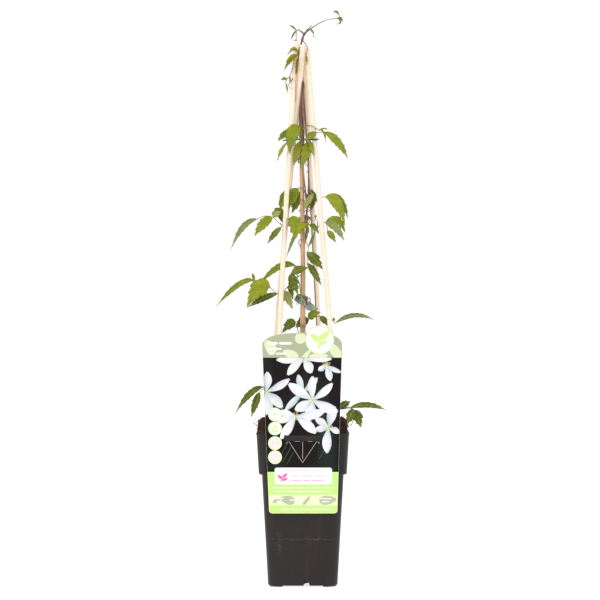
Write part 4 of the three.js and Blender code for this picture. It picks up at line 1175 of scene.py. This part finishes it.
picture = {  # thin lines of the picture: grey canes from and to, and green stalks as middle and length
    "caneWidth": 0.5, "stalkWidth": 0.35, "stalkWay": (0.5, 0.87),
    "canes": (((-17.8, 187.9), (-0.2, 160.7)), ((-0.2, 160.7), (17.8, 187.9)), ((-0.2, 187.9), (-0.2, 165.4)),
              ((-21.5, 185.2), (-19, 187.9)), ((19, 187.9), (21.5, 185.2)), ((-10.4, 187.9), (-3.6, 187.9)),
              ((6.5, 187.9), (12.4, 187.9))),
    "stalks": ((-20, 172, 24), (-24, 178, 17), (-16.5, 166, 17), (27, 176, 26), (31, 190, 20)),
}


def makeCard():
    chance = random.Random(card["seed"])
    outline = cardOutline()
    front, back = card["back"] - card["thickness"], card["back"]
    body = Shape()
    body.add(*loftRings([[(x, y, z) for x, z in outline] for y in (back, front)]))
    piece = body.make("card_body", [printedInk("polystyreneCard", card["plastic"], 0.4)])
    left, right, low, high = card["window"]
    window = Shape()
    addBox(window, (left, front - 1, low), (right, back + 1, high))
    cutAway(piece, window)
    handOver(piece, "card", "label_card")
    materials = [printedInk(name, colour) for name, colour in inks.items()] + [printedNight(), printedPetal()]
    shape = Shape()
    printArea = insetOutline(outline, 0.12)
    below = clipLine(printArea, 1, card["headerLine"], False)
    ground = clipLine(below, 1, card["baseLine"], True)
    base = clipLine(printArea, 1, card["baseLine"], False)
    beside = clipLine(clipLine(ground, 1, high, False), 1, low, True)
    addPrint(shape, clipLine(printArea, 1, card["headerLine"], True), 0, "sage")
    for part in (clipLine(ground, 1, high, True), clipLine(ground, 1, low, False),
                 clipLine(beside, 0, left, False), clipLine(beside, 0, right, True)):
        addPrint(shape, part, 0, "night ground")
    addPrint(shape, base, 0, "limeBright")
    addPrint(shape, insetOutline(base, 1.3), 1, "lime")
    addHeader(shape)
    addBlossoms(materials, chance)
    addIcons(shape)
    addBaseZone(shape, chance)
    for start, end in picture["canes"]:
        addPrint(shape, strokeLine(start, end, picture["caneWidth"]), 2, "grey")
    for x, z, length in picture["stalks"]:
        slant = Vector(picture["stalkWay"]) * length / 2
        ends = (x - slant.x, z - slant.y), (x + slant.x, z + slant.y)
        addPrint(shape, strokeLine(*ends, picture["stalkWidth"]), 1, "stalk")
    handOver(shape.make("card_print", materials, 30), "card")


makeCard()
print("label card cut and printed")

# ---- vines

stemRoutes = {
    "main": [
        (7, 3, 188), (6.6, 2, 222), (5.8, -1, 243), (2.6, -5.4, 262), (-2.8, -5.4, 280),
        (-5.8, -0.6, 297), (-3.4, 5, 313), (-2.1, 5.5, 330), (-2, 4.9, 350), (-1.8, 4.7, 372),
        (-0.6, 5, 405), (0.8, 4.6, 421), (2, 4.7, 438), (5.5, 0.4, 470), (4.4, -3.1, 499),
        (1, -5.2, 536), (1.2, -5, 570), (1.2, -5, 596), (0.6, -5.3, 612), (0, -5.6, 626),
        (0.5, -5, 638), (1.6, -1.8, 646), (1.2, 1.8, 650.5), (-0.9, 3.7, 656), (-3.9, 5.2, 661),
        (-6, 3.2, 667), (-5.3, 1.7, 691), (-3, 0.7, 699), (-0.5, 0, 708), (2.3, 0, 715),
        (10.7, -1, 721.7), (22.2, -2, 729.1), (32.2, -2, 733.3), (45.5, -3, 735),
    ],
    "second": [
        (-5, 7, 188), (-3.5, 6.6, 222), (0.5, 6.3, 243), (3.4, 5.4, 272), (2.4, 5.8, 308),
        (2.1, 5.9, 338), (1.9, 4.9, 361), (2.3, 4.6, 378), (2.2, 5.6, 399), (1.1, 7.5, 419),
        (-2.2, 6, 438), (3, 5.6, 470), (6.9, 1.2, 497), (7.3, -1.2, 520), (7.2, -2, 548),
        (8.2, -4.5, 566), (9, -6, 575.5),
    ],
}
mainStalks = [
    [(1.4, -4.9, 588), (-1.7, -6.5, 591.5), (-6, -9.5, 590.5), (-11, -13.5, 589), (-16.6, -17, 588.6),
     (-20, -17.6, 582.5), (-21, -18, 572.6)],
    [(1.6, -4.8, 585), (-1.2, -7, 580), (-3.1, -8, 575.3), (-5, -6.5, 571)],
    [(1.5, -4.9, 592), (4.5, -9, 594), (10, -15, 594.4), (15, -17.5, 592.5), (18.1, -17, 586),
     (28.1, -15, 586.8)],
    [(15, -17.5, 592.5), (19, -17.5, 590), (22.4, -17.5, 588)],
    [(4, -3.6, 505), (1, -6.2, 512), (-3, -6, 515), (-5.5, -2, 514)],
    [(-5.3, 1.7, 690), (-4.8, -2.2, 691), (-6, -5, 690), (-7, -7.5, 684)],
    [(-6.4, -6, 688.5), (-10, -8.6, 683), (-13.4, -8.6, 671), (-16.8, -8, 659.5), (-20.5, -8, 656),
     (-22, -8, 651)],
    [(5.4, 0.6, 468), (4.6, -5, 472), (0, -8, 470), (-8, -8, 467), (-16, -8.5, 465),
     (-23.8, -12.4, 466), (-31, -18, 469), (-39.1, -20.5, 476), (-50, -22, 477.5), (-59, -22, 473.7)],
    [(-29, -16.5, 468), (-28, -20, 466), (-27.6, -22.5, 463.6)],
    [(-2, -8, 469.5), (-3.4, -10, 469)],
    [(-1, 5.2, 402), (-6.5, 5.5, 399), (-12, 1, 394), (-18, -5, 388), (-25, -10.5, 381),
     (-32.5, -14, 377.5), (-42.4, -15.5, 385), (-52, -15.5, 392), (-62.4, -14, 394.9)],
    [(-6.5, 5.5, 399), (-9.3, 3.6, 406), (-9, 1.2, 413)],
    [(-12, 1, 394), (-14, -4, 398), (-14.7, -8.5, 404)],
    [(2.3, 0, 714.5), (-2, -0.5, 718.5), (-8.5, -1.3, 719.4)],
    [(-8.5, -1.3, 719.4), (-8.6, -3, 712), (-8.2, -4.6, 705.2)],
    [(2.3, 0, 714.5), (5, 1, 720), (9, 2, 723)],
    [(-0.5, 0, 707.5), (1.6, -2, 704), (5.6, -6.6, 698.5), (6.2, -8.2, 695), (4.9, -7.8, 687.5)],
    [(45.5, -3, 735), (48, -3.2, 737), (47, -3.2, 739)],
    [(-2.4, 5.6, 321), (-6, 2.5, 328), (-7.6, -4, 336), (-9.2, -9.2, 340.4)],
]
# a number at the end of a leaflet, here and in secondLeaflets, is its tone: its own colour with painted light
# and shade
mainLeaflets = [
    ((-1.7, -6.5, 591.5), (-13.5, -18.5, 584), (-16.5, -21, 557.5), 19, 0.6),
    ((-16.6, -17, 588.6), None, (-32.5, -12, 576), 8.5, 0.5),
    ((-20, -17.6, 582.5), None, (-31.2, -18.5, 575), 5.5, "up", 0.35),
    ((-21, -18, 572.6), None, (-33, -22, 549.4), 8, "left", 0.75),
    ((-3.1, -8, 575.3), (-7.8, -11.8, 560), (-12, -13, 541.5), 11, 0.6),
    ((-5, -6.5, 571), None, (-8.2, -5.2, 556.2), 5, 0.4),
    ((22.4, -17.5, 590), (27.5, -17.5, 584), (29.6, -16.5, 573.4), 5.4, "right", 0.6),
    ((22.4, -17.5, 590), None, (33.4, -18, 590), 4.5, "up", 0.6),
    ((28.1, -15, 586.8), (45, -10, 574), (58.8, -2, 552.7), 12, 0.68),
    ((18.1, -17, 585.5), (10, -18.8, 581.5), (2.6, -18.8, 574.8), 9.5, 0.5),
    ((-5.5, -2, 514), (-15.5, 0, 501), (-25.6, 3, 481), 17, 0.5),
    ((-7, -7.5, 684), None, (-9, -9, 655), 5, 0.85),
    ((-6.4, -6, 688.5), (-11.5, -8.5, 693.5), (-20, -8, 687), 7.5, "up", 0.8),
    ((-7, -7.4, 686), (-15, -10, 680.5), (-24.3, -11, 667), 11, 0.8),
    ((-20.5, -8, 656), None, (-28.6, -9.5, 654.5), 5, 0.85),
    ((-16.8, -8, 659.5), None, (-16.2, -8.6, 649), 3.2, 0.9),
    ((-22, -8, 651), None, (-19.2, -9, 637), 2.8, 0.9),
    ((-59, -22, 473.7), (-77, -28, 463), (-92.7, -38, 434), 8.5, "turned", 0.35),
    ((-39.1, -20.5, 476), (-51, -26, 467), (-62.4, -34, 451.2), 14, 0.58),
    ((-39.1, -20.5, 476), None, (-28.3, -21, 483.5), 9, "turned"),
    ((-27.6, -22.5, 463.6), None, (-45.8, -27, 441.5), 8.5, 0.35),
    ((-3.4, -10, 469), (-7, -21, 466), (-10.9, -31, 447), 27, 0.6),
    ((-3.4, -9, 467), None, (-21.7, -13, 423.1), 5, "turned"),
    ((-1, -8.2, 470), (6, -10, 462), (4, -9.6, 445.7), 6, "right"),
    ((-9, 1.2, 413), None, (-10.5, 7.5, 404), 5),
    ((-9, 1.2, 413), (-31.5, -2, 411.5), (-59, -8, 386.5), 10, 0.45),
    ((-62.4, -14, 394.9), (-85.5, -4, 387.5), (-113.8, 16, 359.5), 8.5, 0.5),
    ((-42.4, -15.5, 386), (-57, -21, 383), (-72.3, -28, 360), 25, 0.66),
    ((-32.5, -14, 377.5), None, (-72.3, -6, 359), 9.5, 0.28),
    ((-25, -10.5, 381), (-20, -17, 372), (-12.9, -23, 357), 13, "turned", 0.45),
    ((-18, -5, 388), None, (-12.5, -13, 369), 7),
    ((-14.7, -8.5, 403), (-5, -12, 408), (7, -14, 411), 12, 0.42),
    ((-14.7, -8.5, 404), (-12, -12, 391), (-5.7, -13.5, 376), 13.5, 0.3),
    ((-18, -5, 388), (-17, -12, 384), (-9.2, -14.5, 386), 4.5),
    ((-62.4, -14, 394.9), None, (-66, -12, 404), 4),
    ((45.5, -3, 735), None, (52, -3, 731), 6.5, "up"),
    ((47, -3.2, 739), (43, -4, 743), (39.7, -5, 741.5), 3.5, "up"),
    ((45.5, -3, 735), (49, -5, 729), (43.4, -7, 727), 3.5),
    ((10.7, -1, 721.2), None, (14.6, -3, 713), 2.4, "right", 0.97),
    ((9, 2, 723), None, (12, 2.5, 726.5), 2, 0.97),
    ((-8.5, -1.3, 719.4), None, (-17.6, -2, 726.1), 3.6),
    ((-8.5, -1.3, 719.4), None, (-15.9, -4.5, 706), 3.4),
    ((4.9, -7.8, 687.5), None, (5.6, -8.4, 673), 3.5),
    ((-9.2, -9.2, 340.4), (-17, -14, 337), (-26.5, -20, 326.5), 14, 0.3),
    ((-24.5, -9.6, 467), (-31, -12, 483), (-40.5, -14, 479), 12, 0.4),
    ((-15, -3, 507), (-25, -5, 503), (-29.5, -5, 478), 10, 0.5),
]
secondStalks = [
    [(7, 0.2, 505), (9, 3.5, 511), (12.1, 5, 512.5)],
    [(6.8, 1, 500), (4.4, 6.4, 508), (0.3, 7, 511)],
    [(7.2, -0.6, 512), (10, -5, 509), (13.6, -8, 506)],
    [(5.4, 3.4, 484), (9.5, 0, 485), (13, -4, 488.5), (18.5, -7.4, 498), (24, -8.2, 502.5),
     (29.6, -8.4, 502.5)],
    [(29.6, -8.4, 502.5), (32.5, -6, 505.5), (35.4, -3, 506.8)],
    [(3.4, 5.4, 471), (8.5, 3, 467), (14, -3, 464), (19.5, -9, 464), (24, -11.4, 467),
     (29.2, -13.6, 469.5), (31.6, -16, 463), (31.8, -17.4, 459)],
    [(19.5, -9, 464), (19, -8, 470), (16.4, -6.5, 475)],
    [(2, 5.9, 462), (8, 8.2, 470), (10.7, 8.4, 476.5)],
    [(-2.2, 6, 438), (-4.8, 3.4, 441.5), (-5.2, -0.6, 445), (-3.4, -3.6, 447.6), (0.2, -4.4, 447.4),
     (3.6, -3.6, 446.2), (5.2, -3.2, 443), (6.8, -4.2, 439.2), (7.7, -5.2, 435.6), (6.4, -6.6, 432),
     (5.2, -7, 430.5)],
    [(6.6, -6.4, 432.5), (6.5, -6.8, 424), (6, -7.4, 417.2)],
    [(2, 5.7, 346.5), (5.6, 3.6, 345.5), (7.4, -1.6, 345), (13, -7.5, 346), (22.2, -10.5, 348.2),
     (31, -12, 344.5), (40.2, -12.6, 341.5), (42.1, -12.6, 339)],
    [(2.2, 5.9, 338.5), (5.4, 7.6, 342), (8.6, 7.6, 345)],
]
secondLeaflets = [
    ((9, -6, 575.5), (5, -15, 561), (-3.1, -17.5, 539.5), 15, 0.6),
    ((9, -6, 575.5), (10.6, -14.6, 568), (14, -17.4, 555), 6.5),
    ((0.3, 7, 511), None, (-14.5, 9, 481.3), 12.5, 0.5),
    ((13.6, -8, 506), (7, -12.5, 497), (-1.8, -11.5, 481), 8.5, "turned", 0.6),
    ((12.1, 5, 512.5), None, (11, 8, 485), 14, 0.35),
    ((29.6, -8.4, 502.5), (44, -10.5, 495), (54.6, -15, 466), 17, 0.66),
    ((35.4, -3, 506.8), (50, 3, 497), (59, 14, 474.4), 9.5, 0.5),
    ((10.7, 8.4, 476.5), None, (-11.7, 12, 467.8), 11, "turned"),
    ((8.5, 3, 467), (15, -8, 463.5), (21, -12, 454.5), 8, 0.45),
    ((29.2, -13.6, 469.5), (45, -10, 472), (55, -2, 456), 11.5, 0.6),
    ((29.2, -13.6, 469.5), (42, -19, 463), (53.7, -25, 445), 12, "turned"),
    ((31.8, -17.4, 459), None, (42.5, -22, 443.5), 9, 0.55),
    ((16.4, -6.5, 475), None, (16.8, -6.6, 480), 3.6),
    ((7, -4.4, 438.6), (12.8, -5.6, 447.5), (15.6, -8, 459), 7.8, "left", "turned"),
    ((5.2, -7, 430.5), (15.5, -11, 421.5), (26, -13, 408.5), 14.5, 0.38),
    ((6, -7.4, 417.2), (15, -9.5, 404), (24.3, -11, 388), 10, 0.35),
    ((7.2, -2.6, 345), (13.5, -9, 350), (23, -15, 353), 13, 0.38),
    ((22.2, -10.5, 348.2), None, (33, -17, 335), 9, 0.28),
    ((40.2, -12.6, 341.5), None, (40, -12.6, 346.5), 3.6),
    ((42.1, -12.6, 339), (67, -20, 349), (92.7, -33, 343), 7.5, "turned"),
    ((8.6, 7.6, 345), None, (-9.5, 12.5, 333), 14, 0.25),
]
leftShoot = {
    "stem": [(-31, -19, 190), (-31.5, -20, 218), (-37, -22, 240), (-45, -25, 253), (-51.6, -27, 256.8)],
    "stalks": [[(-47.5, -26, 254.8), (-52, -28, 253.5), (-55.6, -30, 250.2)]],
    "leaflets": [
        ((-51.6, -27, 256.8), (-69, -31, 247), (-87.5, -38, 222), 9.5),
        ((-55.6, -30, 250.2), None, (-66.4, -36, 217.8), 10.5),
        ((-43, -24.2, 250.6), None, (-45, -12, 268), 8),
    ],
}
rightShoot = {
    "stem": [(33, -40, 190), (34.5, -41, 218), (42, -43.5, 230), (49.7, -44.5, 229),
             (60.3, -48, 230.5), (65.4, -50, 228)],
    "stalks": [],
    "leaflets": [
        ((47, -44.5, 229.5), None, (61.5, -40, 238.5), 10.5),
        ((60.3, -48, 230.5), (84, -51, 234), (107.6, -56, 227.5), 9),
        ((65.4, -50, 228), None, (74.8, -60, 205.5), 14.5),
        ((65.4, -50, 228), (61, -60, 221), (56.5, -65.5, 208.6), 11.5),
    ],
}
facings = {
    "front": (0, -1, 0.35), "up": (0, -0.55, 0.85), "left": (-0.8, -0.6, 0.3), "right": (0.8, -0.6, 0.3),
}
vine = {
    "stalkRadius": 0.58, "spacing": 1.4, "ridges": 6, "ridgeShare": 0.07, "node": 0.45,
    "tones": ("#5e3d35", "#8a6152", "#bf9c8d", "#8f8a45", "#9aa347"),  # purple, brown, pink, olive and green
}
blade = {
    "thickness": 0.3, "toothSpacing": 7.5, "toothDepth": 0.2, "toothPeak": 0.68, "toothLean": 0.3,
    "arch": 0.05, "fold": 0.3, "ripple": 0.1, "rake": 0.55, "ribDepth": 0.3, "veinDepth": 0.1,
    "pucker": 0.014, "rowsPerTooth": 6, "veinletMm": 1.6, "cloudMm": 9,
    "columns": (-1, -0.86, -0.7, -0.53, -0.36, -0.2, -0.07, 0, 0.07, 0.2, 0.36, 0.53, 0.7, 0.86, 1),
    "upper": ("#363f08", "#53600c", "#79870c", "#94970f", "#8a741b"),  # old and dark to young and red-brown
    "upperVein": "#9ca347", "upperEdge": "#6b4f1c",
    "under": ("#595d31", "#70763f", "#888d4e", "#999b58", "#94844c"), "underVein": "#b0b379",
    "toneByHeight": (
        (220, 0.22), (350, 0.35), (430, 0.45), (500, 0.55), (580, 0.75), (660, 0.88), (750, 0.95)),
}


def youngStem():
    # young vine stem: ribbed and fibrous, purple-brown in the sun, olive towards the leaf, with a dull sheen
    material, tree = newMaterial("youngVineStem", {"Roughness": 0.5, "IOR": 1.45, "Specular IOR Level": 0.4})
    place, tone = readSurface(tree, "place", "tone")
    drawn = addNode(tree, "Mapping", {"Scale": (2.2, 2.2, 0.12)}, {0: place})[0]
    streak = addNode(tree, "TexNoise", {"Scale": 1, "Detail": 4}, {0: drawn})[0]
    spread = addNode(tree, "Math", {"operation": "MULTIPLY_ADD", 1: 0.5}, {0: streak, 2: tone})[0]
    shifted = addNode(tree, "Math", {"operation": "SUBTRACT", 1: 0.25}, {0: spread})[0]
    colour = addNode(tree, "ValToRGB", {"stops": list(zip((0.05, 0.3, 0.5, 0.72, 0.95), vine["tones"]))},
                     {0: shifted})[0]
    bump = addNode(tree, "Bump", {"Strength": 0.4, "Distance": 0.0001}, {"Height": streak})[0]
    return feedShader(material, {"Base Color": colour, "Normal": bump})


def leafSkin(name, shades, vein, edge, roughness, relief):
    # living leaf, thin and soft: satin on top and dull below, veins paler, some light comes through
    material, tree = newMaterial(name, {
        "Roughness": roughness, "IOR": 1.42, "Specular IOR Level": 0.28, "Subsurface Weight": 0.12,
        "Subsurface Radius": (0.8, 1.0, 0.3), "Subsurface Scale": 0.0008})
    where, place, tone = readSurface(tree, "where", "place", "tone")
    parts = addNode(tree, "SeparateXYZ", {}, {0: place})
    rib = addNode(tree, "MapRange", {1: 0.15, 2: 0.6, 3: 0.75, 4: 0}, {0: parts["X"]})[0]
    side = addNode(tree, "MapRange", {1: 0.08, 2: 0.45, 3: 0.3, 4: 0}, {0: parts["Y"]})[0]
    net = addNode(tree, "TexVoronoi",
                  {"feature": "DISTANCE_TO_EDGE", "Scale": perSize(blade["veinletMm"])}, {0: where})[0]
    fine = addNode(tree, "MapRange", {1: 0.02, 2: 0.14, 3: 0.07, 4: 0}, {0: net})[0]
    veins = addNode(tree, "Math", {"operation": "MAXIMUM"}, {0: rib, 1: side})[0]
    allVeins = addNode(tree, "Math", {"operation": "MAXIMUM"}, {0: veins, 1: fine})[0]
    cloud = addNode(tree, "TexNoise", {"Scale": perSize(blade["cloudMm"]), "Detail": 2}, {0: where})[0]
    spread = addNode(tree, "Math", {"operation": "MULTIPLY_ADD", 1: 0.4}, {0: cloud, 2: tone})[0]
    shifted = addNode(tree, "Math", {"operation": "SUBTRACT", 1: 0.2}, {0: spread})[0]
    ground = addNode(tree, "ValToRGB", {"stops": list(zip((0.1, 0.32, 0.54, 0.75, 0.95), shades))},
                     {0: shifted})[0]
    rim = addNode(tree, "MapRange", {1: 0.84, 2: 1.0, 4: 0.7}, {0: parts["Z"]})[0]
    edged = addNode(tree, "Mix", {"data_type": "RGBA", 7: edge}, {0: rim, 6: ground})[2]
    veined = addNode(tree, "Mix", {"data_type": "RGBA", 7: vein}, {0: allVeins, 6: edged})[2]
    bump = addNode(tree, "Bump", {"Strength": relief, "Distance": 0.00016, "invert": True},
                   {"Height": allVeins})[0]
    return feedShader(material, {"Base Color": veined, "Normal": bump})


def bladeWidth(share, lobed):  # widest before the middle, drawn out to the tip, with a lobe each side or not
    share = min(1, max(0, share))
    plain = max(0, math.sin(math.pi * share ** 0.78)) ** 0.9 * (1 - 0.34 * ease(0.62, 0.95, share))
    if lobed:
        lobe = 0.14 * math.exp(-((share - 0.46) / 0.07) ** 2)
        plain *= 1 + lobe - 0.26 * ease(0.5, 0.62, share) * (1 - share)
    return plain


def toneAtHeight(z):
    steps = blade["toneByHeight"]
    for (lowZ, low), (highZ, high) in zip(steps, steps[1:]):
        if z < highZ:
            return low + (high - low) * max(0, z - lowZ) / (highZ - lowZ)
    return steps[-1][1]


def addLeaflet(shape, leaflet, chance):
    # where it starts, passes and ends, its width, and then, in any order: a way to face, "turned" where the
    # under side shows, and a tone from dark to red-brown, which holds the leaf's own colour and painted light
    # and shade
    base, over, tip, width, *rest = leaflet
    turned = "turned" in rest
    given = [value for value in rest if not isinstance(value, str)]
    start, end = Vector(base), Vector(tip)
    face = Vector(next((facings[word] for word in rest if word in facings), facings["front"]))
    length = (end - start).length
    middle = (start + end) / 2
    passed = Vector(over) if over else middle + Vector((0, -blade["arch"] / 2, blade["arch"])) * length
    control = passed * 2 - middle
    teeth = min(8, max(3, round(length / blade["toothSpacing"])))
    lobed = width > 0.4 * length
    young = ease(640, 700, base[2])  # young leaves are still folded along the rib
    foldSlope = blade["fold"] + chance.uniform(-0.08, 0.14) + 0.7 * young
    pucker = blade["pucker"] * width
    # a listed tone is the leaf's own colour together with painted light and shade: lit leaves lighter, shaded
    # ones darker
    usual, spread = (given[0], 0.03) if given else (toneAtHeight(base[2]), 0.1)
    tone = usual + chance.uniform(-spread, spread)
    swing = chance.uniform(0, math.tau)

    def surface(x, t, lift):  # a point x mm beside the rib, at a share of its length
        spine = start * (1 - t) ** 2 + control * 2 * t * (1 - t) + end * t * t
        ahead = ((control - start) * (1 - t) + (end - control) * t).normalized()
        up = (face - ahead * face.dot(ahead)).normalized()
        slope = foldSlope + math.copysign(blade["ripple"] * math.sin(10 * t + swing), x)
        return spine + ahead.cross(up) * x / math.sqrt(1 + young) + up * (abs(x) * slope + lift)

    points, places, columns = {1: [], -1: []}, [], blade["columns"]
    rows = teeth * blade["rowsPerTooth"] + 1
    for row in range(rows):
        phase = row / blade["rowsPerTooth"]
        t0 = phase / teeth
        share = phase % 1
        peak = blade["toothPeak"]
        tooth = share / peak if share < peak else (1 - share) / (1 - peak)
        depth = blade["toothDepth"] * ease(0, 0.3, t0) * (1 - 0.6 * ease(0.8, 1, t0))
        calm = min(1, (1 - t0) / 0.25)  # the forward slant fades out at the tip
        half = width / 2 * bladeWidth(t0, lobed)
        for _ in range(4):
            reached = t0 + blade["rake"] * half * calm / length
            half = width / 2 * bladeWidth(reached, lobed) * (1 - depth * (1 - tooth))
        half = max(half, 0.12) if row else 0.3
        veinWay = abs((phase - peak + 0.5) % 1 - 0.5) * length / teeth * 0.85
        for c in columns:
            x = c * half
            lean = blade["rake"] * half * abs(c) ** 1.2
            lean += length / teeth * blade["toothLean"] * tooth * abs(c) ** 3
            t = min(1, t0 + lean * calm / length)
            crown = math.sin(math.pi * min(1, abs(c))) ** 0.8
            lift = pucker * (0.5 - 0.5 * math.cos(math.tau * (phase - peak))) * crown
            lift -= blade["veinDepth"] * math.exp(-(veinWay / 0.5) ** 2) * min(1, abs(x)) * min(1, half / 3)
            lift -= blade["ribDepth"] * math.exp(-(x / 0.55) ** 2) * min(1, half / 2)
            lift -= 0.05 * width * abs(c) ** 3
            lift += 0.04 * width * math.sin(math.tau * t0 * 1.9 + swing) * c * abs(c)
            for side in (1, -1):
                points[side].append(surface(x, t, lift + side * blade["thickness"] / 2))
            places.append((abs(x), veinWay, abs(c)))
    top, bottom, rim = closedSheet(rows, len(columns))
    first = len(shape.faces)
    upper, under = (1, 0) if turned else (0, 1)
    shape.add(points[1] + points[-1], top + bottom + rim, 1, places * 2, tone)
    shape.finishes[first:first + len(top)] = [upper] * len(top)
    shape.finishes[first + len(top):first + 2 * len(top)] = [under] * len(top)
    ribSide = 1 if turned else -1
    ribRoute = [surface(0, t, ribSide * 0.16 - blade["ribDepth"] * min(1, t * 6))
                for t in (0, 0.15, 0.35, 0.6, 0.85)]
    ribRoute = [start - (control - start).normalized() * 1.2, *ribRoute]
    addRod(shape, ribRoute, lambda t, a, c: 0.44 - 0.32 * t, 6, 2, 1, tone)


def makeVine(name, node, stem, radii, stalks, leaflets, curls, materials, seed):
    chance = random.Random(seed)
    wood, shape = Shape(), Shape()
    joints = [Vector(stalk[0]) for stalk in stalks]  # the stem swells where the stalks leave it

    def stemRadius(t, angle, centre):
        near = min(((centre - j).length for j in joints), default=99)
        plain = radii[0] + (radii[1] - radii[0]) * t + vine["node"] * math.exp(-(near / 2.2) ** 2)
        thicker = 0.35 * ease(655, 670, centre.z) * ease(724, 712, centre.z)  # the woody turns at the top
        plain *= 1 - 0.3 * ease(715, 735, centre.z) + thicker
        return plain * (1 + vine["ridgeShare"] * math.cos(vine["ridges"] * angle + t * 9))

    def stemTone(t):  # blotchy, and on the tall stem dark at the top turns and green at the very tip
        tall = 0.4 * ease(0.94, 1, t) - 0.3 * ease(0.80, 0.82, t) * ease(0.94, 0.92, t)
        return 0.27 + 0.25 * noise.noise(Vector((t * 14, seed, 0))) + (stem[-1][2] > 700) * tall

    addRod(wood, stem, stemRadius, 18, vine["spacing"], 0, stemTone)
    for i, stalk in enumerate(stalks):
        green = chance.uniform(0.1, 0.5)
        addRod(wood, stalk, lambda t, a, c: vine["stalkRadius"] * (1.12 - 0.3 * t), 10, 1.2, 0,
               lambda t: green + 0.25 * t, 50 + i * 30)
    for i, (route, thick, green) in enumerate(curls):
        addRod(wood, route, lambda t, a, c: thick * (1 - 0.4 * t), 10, 0.7, 0, lambda t: green, 900 + i * 20)
    for leaflet in leaflets:
        addLeaflet(shape, leaflet, chance)
    handOver(wood.make(name + "_stems", [materials[2]], 60), "foliage", node)
    handOver(shape.make(name + "_leaflets", materials[:2], 70), "foliage", node)


tendrils = {  # extra curls that the leaf stalks make, with thickness and greenness
    "main": [
        ([(-16.5, -8.6, 397.5), (-12, -10, 399.6), (-7.6, -10.4, 398), (-4.8, -10, 391.5),
          (-3.6, -8.8, 383), (-3, -7, 376)], 0.75, 0.95),
        ([(-19, -7, 390.5), (-14.5, -10.5, 386), (-9.5, -11, 384), (-5.6, -9.6, 386.4),
          (-3.4, -6.4, 389.5)], 0.6, 0.9),
        ([(-6.6, -7.2, 377.8), (-5.3, -8.2, 374.6), (-2.8, -8.9, 373.4), (0.6, -8.9, 374.4),
          (2.4, -7.8, 373.6)], 0.7, 0.7),
        ([(1.6, -6.4, 375), (3.4, -6.9, 371.5), (5, -7.1, 366.9), (5.8, -6.4, 363.2)], 1.15, 0.02),
        ([(5, -7.6, 367.6), (6.4, -8.2, 371.2), (9, -8, 370.8), (9.6, -7.6, 367.8), (7.2, -7.2, 366.2),
          (5.4, -7, 368)], 0.85, 0.06),
        ([(6.2, -8.4, 366.6), (8.2, -8.8, 365.2), (10.2, -8.2, 366.8)], 0.5, 0.75),
        ([(0.8, -5.6, 591), (4.5, -9, 594.4), (10, -14.6, 594.8), (15, -17.4, 592.6),
          (22, -17.6, 588)], 0.95, 0.85),
        ([(-1.2, -4.6, 555), (-4.6, -3.2, 553.6), (-6, -0.8, 551.4), (-5.2, -3, 548.6),
          (-6.4, -3.4, 546.6)], 0.8, 0.02),
        ([(-8.2, -9.6, 364.6), (-7, -9.8, 363.2), (-5.4, -9, 363.6), (-4.4, -7.2, 364.6)], 0.45, 0.9),
        ([(2.6, 3.4, 484), (-1.8, 4.2, 486.5), (-4.6, 1.4, 486), (-4.4, -2, 484.6),
          (-3.4, -3.4, 484)], 0.7, 0.2),
        ([(1.2, -5.8, 553), (-2.4, -5.2, 551.5), (-5.4, -2.4, 551), (-5.8, 0.4, 549),
          (-4.9, -2.6, 547.2), (-1.6, -5, 546.8), (1.2, -5.8, 546)], 0.7, 0.25),
        ([(1.4, -5.8, 546), (4.4, -5.6, 545), (6.6, -4.4, 541), (6.2, -4.2, 536.6),
          (4.2, -4.8, 534.4)], 0.6, 0.75),
        ([(2.3, 0, 714.2), (-1, -0.4, 716.8), (-6, -0.8, 721.2)], 0.85, 0.12),
        ([(3.2, -0.2, 715.6), (5.6, -0.8, 719), (9.4, -1.2, 723.4)], 0.7, 0.02),
        ([(-10.6, -1, 706.2), (-9, -1.8, 707), (-7.4, -1, 706.2)], 0.75, 0.02),
        ([(10.4, -1, 719.5), (12.4, -1.8, 717), (14.4, -1.4, 714.4), (13.4, -1, 712),
          (15.6, -1.2, 711)], 0.55, 0.1),
        ([(-13, -8.6, 656), (-16.4, -8.8, 651.5), (-18.4, -8.8, 647.6), (-15.4, -8.6, 643)], 0.5, 0.05),
        ([(-9, -9, 655), (-9.6, -9.2, 650), (-8.8, -9.4, 648), (-9.4, -9.2, 645), (-9.2, -9, 636),
          (-9.8, -9, 626)], 0.4, 0.15),
    ],
    "second": [
        ([(6.6, 2.2, 492), (8.6, -1, 489), (10, -3, 492), (8.4, -5.2, 494), (6.4, -4.6, 490),
          (4.6, -4.2, 486), (2.8, -3.6, 484.6)], 0.7, 0.25),
        ([(9.6, -2.6, 491.6), (10.8, -4.8, 488.2), (8.8, -5.6, 485.8), (7.2, -4.6, 487.4)], 0.6, 0.3),
    ],
}


def makeVines():
    upper = leafSkin("freshLeafUpperSide", blade["upper"], blade["upperVein"], blade["upperEdge"], 0.4, 0.9)
    under = leafSkin("freshLeafUnderside", blade["under"], blade["underVein"], blade["under"][1], 0.62, -0.5)
    materials = [upper, under, youngStem()]
    makeVine("main_vine", "leafy_stem_main", stemRoutes["main"], (1.3, 0.75), mainStalks, mainLeaflets,
             tendrils["main"], materials, 31)
    makeVine("second_vine", "leafy_stem_second", stemRoutes["second"], (1.2, 0.8), secondStalks,
             secondLeaflets, tendrils["second"], materials, 32)
    for name, shoot, seed in (("left", leftShoot, 33), ("right", rightShoot, 34)):
        makeVine(name + "_shoot", "low_shoot_" + name, shoot["stem"], (1.1, 0.8), shoot["stalks"],
                 shoot["leaflets"], [], materials, seed)


makeVines()
print("vines grown")
